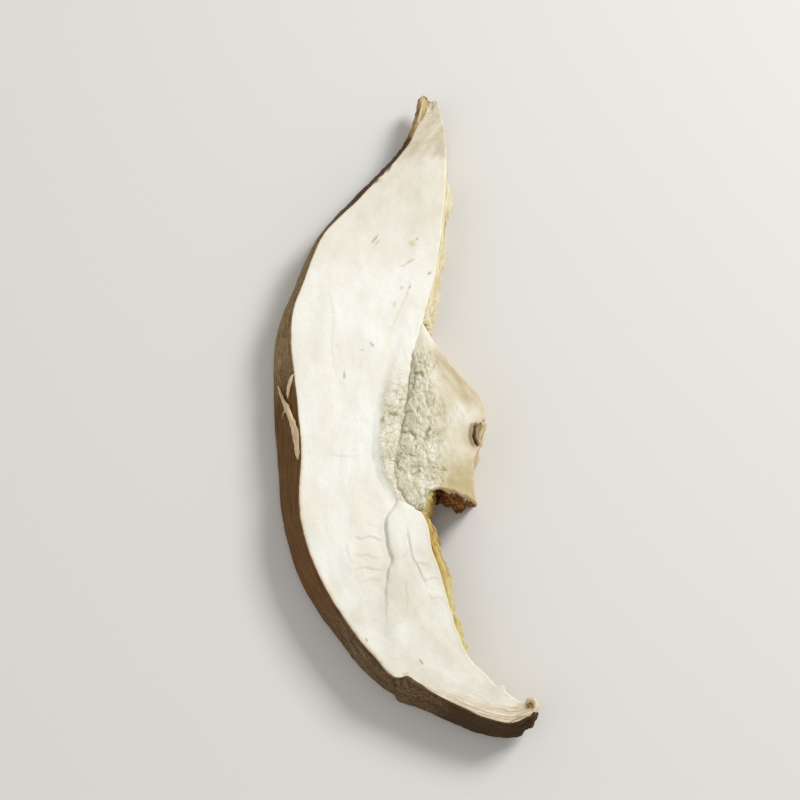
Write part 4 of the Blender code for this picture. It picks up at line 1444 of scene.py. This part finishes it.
def skin_look():
    look = Look("cap_skin", 0.75, 0.16)
    streaks = look.noise((4.0, 0.25, 1.0), detail=6, distortion=0.5)
    blotch = look.noise((1.8, 0.8, 1.0), detail=5, distortion=0.5)
    specks = look.noise((0.45, 0.28, 1.0), detail=3)
    pale_specks = look.noise((0.5, 0.2, 1.0), detail=2, distortion=1.0)
    grainy = look.plus(look.times(streaks, 0.4), look.times(specks, 0.6))
    mixed = look.plus(look.times(blotch, 0.4), look.times(specks, 0.6))
    look.colour = look.graded(grainy, 0.4, 0.6, (76, 56, 34), (128, 103, 72))
    look.stain("middle", 1.0, look.graded(streaks, 0.36, 0.66, (98, 68, 36), (122, 87, 49)))
    look.stain("upper", 1.0, look.graded(mixed, 0.38, 0.62, (120, 95, 62), (168, 141, 102)))
    grey = look.math("SUBTRACT", 0.42, look.times(look.fact("middle"), 0.35))
    look.fleck(blotch, 0.52, 0.7, grey, (142, 122, 94))
    look.fleck(specks, 0.6, 0.72, 0.5, (60, 41, 24))
    look.fleck(pale_specks, 0.68, 0.74, 0.5, (170, 151, 118))
    look.stain("tip", 0.75, (58, 39, 22))
    look.stain("rim", 0.5, (70, 46, 26))
    border = look.plus(look.fact("tan"), look.times(look.math("SUBTRACT", blotch, 0.5), 1.6))
    ends = look.graded(blotch, 0.36, 0.62, (200, 178, 134), (150, 122, 80))
    look.fleck(border, 0.35, 0.75, 0.92, ends)
    look.stain("slit", 1.0, (200, 182, 150))
    look.bump(streaks, 0.10)
    look.bump(specks, 0.05)
    return look.finish()


def gill_look():
    look = Look("gills", 0.85)
    grain = look.noise((0.22, 0.9, 1.0), detail=4)
    patch = look.noise((1.6, 2.0, 1.0), detail=4)
    veins = look.noise((2.4, 0.3, 0.3), detail=4)
    amber, depth, edge = look.fact("amber"), look.fact("depth"), look.fact("edge")
    # Darker towards the plates' roots: painted shade where they meet the flesh, over the gills' amber.
    deep = look.graded(patch, 0.35, 0.65, (184, 162, 98), (160, 130, 68))
    light = look.graded(patch, 0.35, 0.65, (222, 212, 160), (204, 184, 118))
    look.colour = look.graded(edge, 0.35, 1.0, deep, light)
    look.stain("shade", 0.35, (206, 196, 136))
    look.fleck(depth, 0.0, 0.1, 0.4, look.graded(depth, 0.1, 0.35, (220, 210, 152), (200, 172, 100)))
    look.stain("pale", 0.66, (234, 227, 202))
    look.fleck(grain, 0.5, 0.75, 0.4, (182, 154, 96))
    look.stain("amber", 0.55, (200, 164, 84))
    # In the amber stretch the roots get darker still: painted shade.
    look.cover(look.times(look.times(amber, look.between(edge, 1.0, 0.2)), 0.85), (156, 114, 50))
    look.fleck(veins, 0.5, 0.62, look.plus(look.times(amber, 0.6), 0.25), (150, 108, 46))
    look.bump(grain, 0.10)
    return look.finish()


def stem_look():
    look = Look("stem_flesh", 0.88)
    cloud = look.noise((4.0, 6.0, 3.0), detail=3)
    mottle = look.noise((0.6, 0.8, 0.5), detail=6)
    fibre = look.noise((0.4, 3.0, 0.5), detail=4, distortion=0.5)
    fibres = look.noise((0.6, 4.0, 0.22), detail=5)
    lump = look.noise((0.5, 0.5, 0.4), detail=5)
    look.colour = look.graded(cloud, 0.35, 0.68, (240, 234, 218), (222, 212, 184))
    look.fleck(fibre, 0.48, 0.75, 0.18, (210, 197, 160))
    look.fleck(mottle, 0.5, 0.75, 0.2, (212, 202, 166))
    look.stain("low", 0.9, (188, 171, 118))
    look.stain("tanned", 0.88, look.mix(look.fact("grain"), (216, 204, 172), (174, 160, 122)))
    pits = crumbled(look, 0.85)
    look.stain("rim", 0.7, look.graded(mottle, 0.35, 0.65, (222, 196, 162), (196, 164, 126)))
    look.stain("husk", 1.0, look.graded(fibres, 0.36, 0.66, (216, 200, 166), (190, 168, 128)))
    # Painted shade in the dent by the knob.
    look.stain("dent", 0.75, (178, 160, 120))
    look.stain("pit_rim", 0.8, (156, 128, 80))
    look.stain("pit", 0.9, (104, 80, 48))
    look.stain("lip", 0.65, (222, 188, 152))
    look.stain("olive_line_and_crease_shade", 0.6, (164, 156, 114))
    # Painted shade in the crease at the joint with the cap.
    look.stain("ochre", 0.8, (156, 148, 88))
    look.stain("torn", 1.0, look.graded(lump, 0.36, 0.62, (84, 50, 24), (168, 120, 68)))
    look.bump(mottle, 0.06)
    look.bump(pits, -0.06)
    look.bump(look.noise((0.16, 0.16, 0.16), detail=4), 0.04)
    return look.finish()


def shred_look(name, pale, deep, edge):
    look = Look(name, 0.8)
    fibre = look.noise((1.4, 0.16, 0.2), detail=4)
    look.colour = look.graded(fibre, 0.36, 0.66, pale, deep)
    look.fleck(look.fact("edge"), 0.6, 1.0, 0.6, edge)
    look.bump(fibre, 0.08)
    return look.finish()


# Stage: floor, lights and camera.

CAMERA_ELEVATION = 68.0
CAMERA_DISTANCE = 310.0
CAMERA_LENS = 112.0
CAMERA_AIM = (0.0, 0.0, 0.0026)
FLOOR_HALF = 3.0

# Place in metres, size in metres and power of each light.
LIGHTS = {"key": ((0.34, 0.24, 0.34), 0.18, 2.3), "fill": ((-0.35, -0.25, 0.40), 0.5, 0.5)}


def make_floor():
    mesh = bpy.data.meshes.new("floor")
    corners = [(x * FLOOR_HALF, y * FLOOR_HALF, 0) for x, y in ((-1, -1), (1, -1), (1, 1), (-1, 1))]
    mesh.from_pydata(corners, [], [(0, 1, 2, 3)])
    look = Look("floor", 0.9)
    look.fill(look.shader, {"Base Color": srgb(222, 220, 215)})
    floor = add_object("floor", mesh, look.material)


def make_light(name, place, size, power):
    """A soft square light at the place, in metres, that faces the slice."""
    data = bpy.data.lights.new(name, "AREA")
    data.size = size
    data.energy = power
    light = add_object(name, data)
    light.location = place
    light.rotation_euler = (-Vector(place)).to_track_quat("-Z", "Y").to_euler()


def make_camera():
    data = bpy.data.cameras.new("camera")
    data.lens = CAMERA_LENS
    data.clip_start = 0.01
    data.clip_end = 20
    camera = add_object("camera", data)
    elevation = np.radians(CAMERA_ELEVATION)
    back = Vector((0.0, -np.cos(elevation), np.sin(elevation)))
    camera.location = Vector(CAMERA_AIM) + back * CAMERA_DISTANCE * MM
    camera.rotation_euler = (-back).to_track_quat("-Z", "Y").to_euler()
    bpy.context.scene.camera = camera


def make_world():
    world = bpy.data.worlds.new("studio")
    world.use_nodes = True
    background = world.node_tree.nodes["Background"]
    background.inputs["Color"].default_value = (1.0, 0.995, 0.985, 1.0)
    background.inputs["Strength"].default_value = 0.45
    bpy.context.scene.world = world


def main():
    ribs = Ribs(even_shares(0.0, 1.0, RIB_PITCH))
    face = flesh_upper(ribs)
    joint = (ribs.share, face[0][:, -1, 2].copy())
    flesh = make_flesh(ribs, face, flesh_look())
    skin = Skin(ribs)
    skin_piece = make_skin(skin, skin_look())
    gill_material = gill_look()
    gills = make_gills(gill_material)
    make_flap(gill_material)
    stem = make_stem(joint, stem_look())
    make_shreds(skin)
    make_curls()
    for piece in (flesh, skin_piece, gills):
        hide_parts("cap")
    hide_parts("stem")
    make_floor()
    for name, settings in LIGHTS.items():
        make_light(name, *settings)
    make_camera()
    make_world()
    bpy.context.scene.view_settings.view_transform = "Standard"


main()
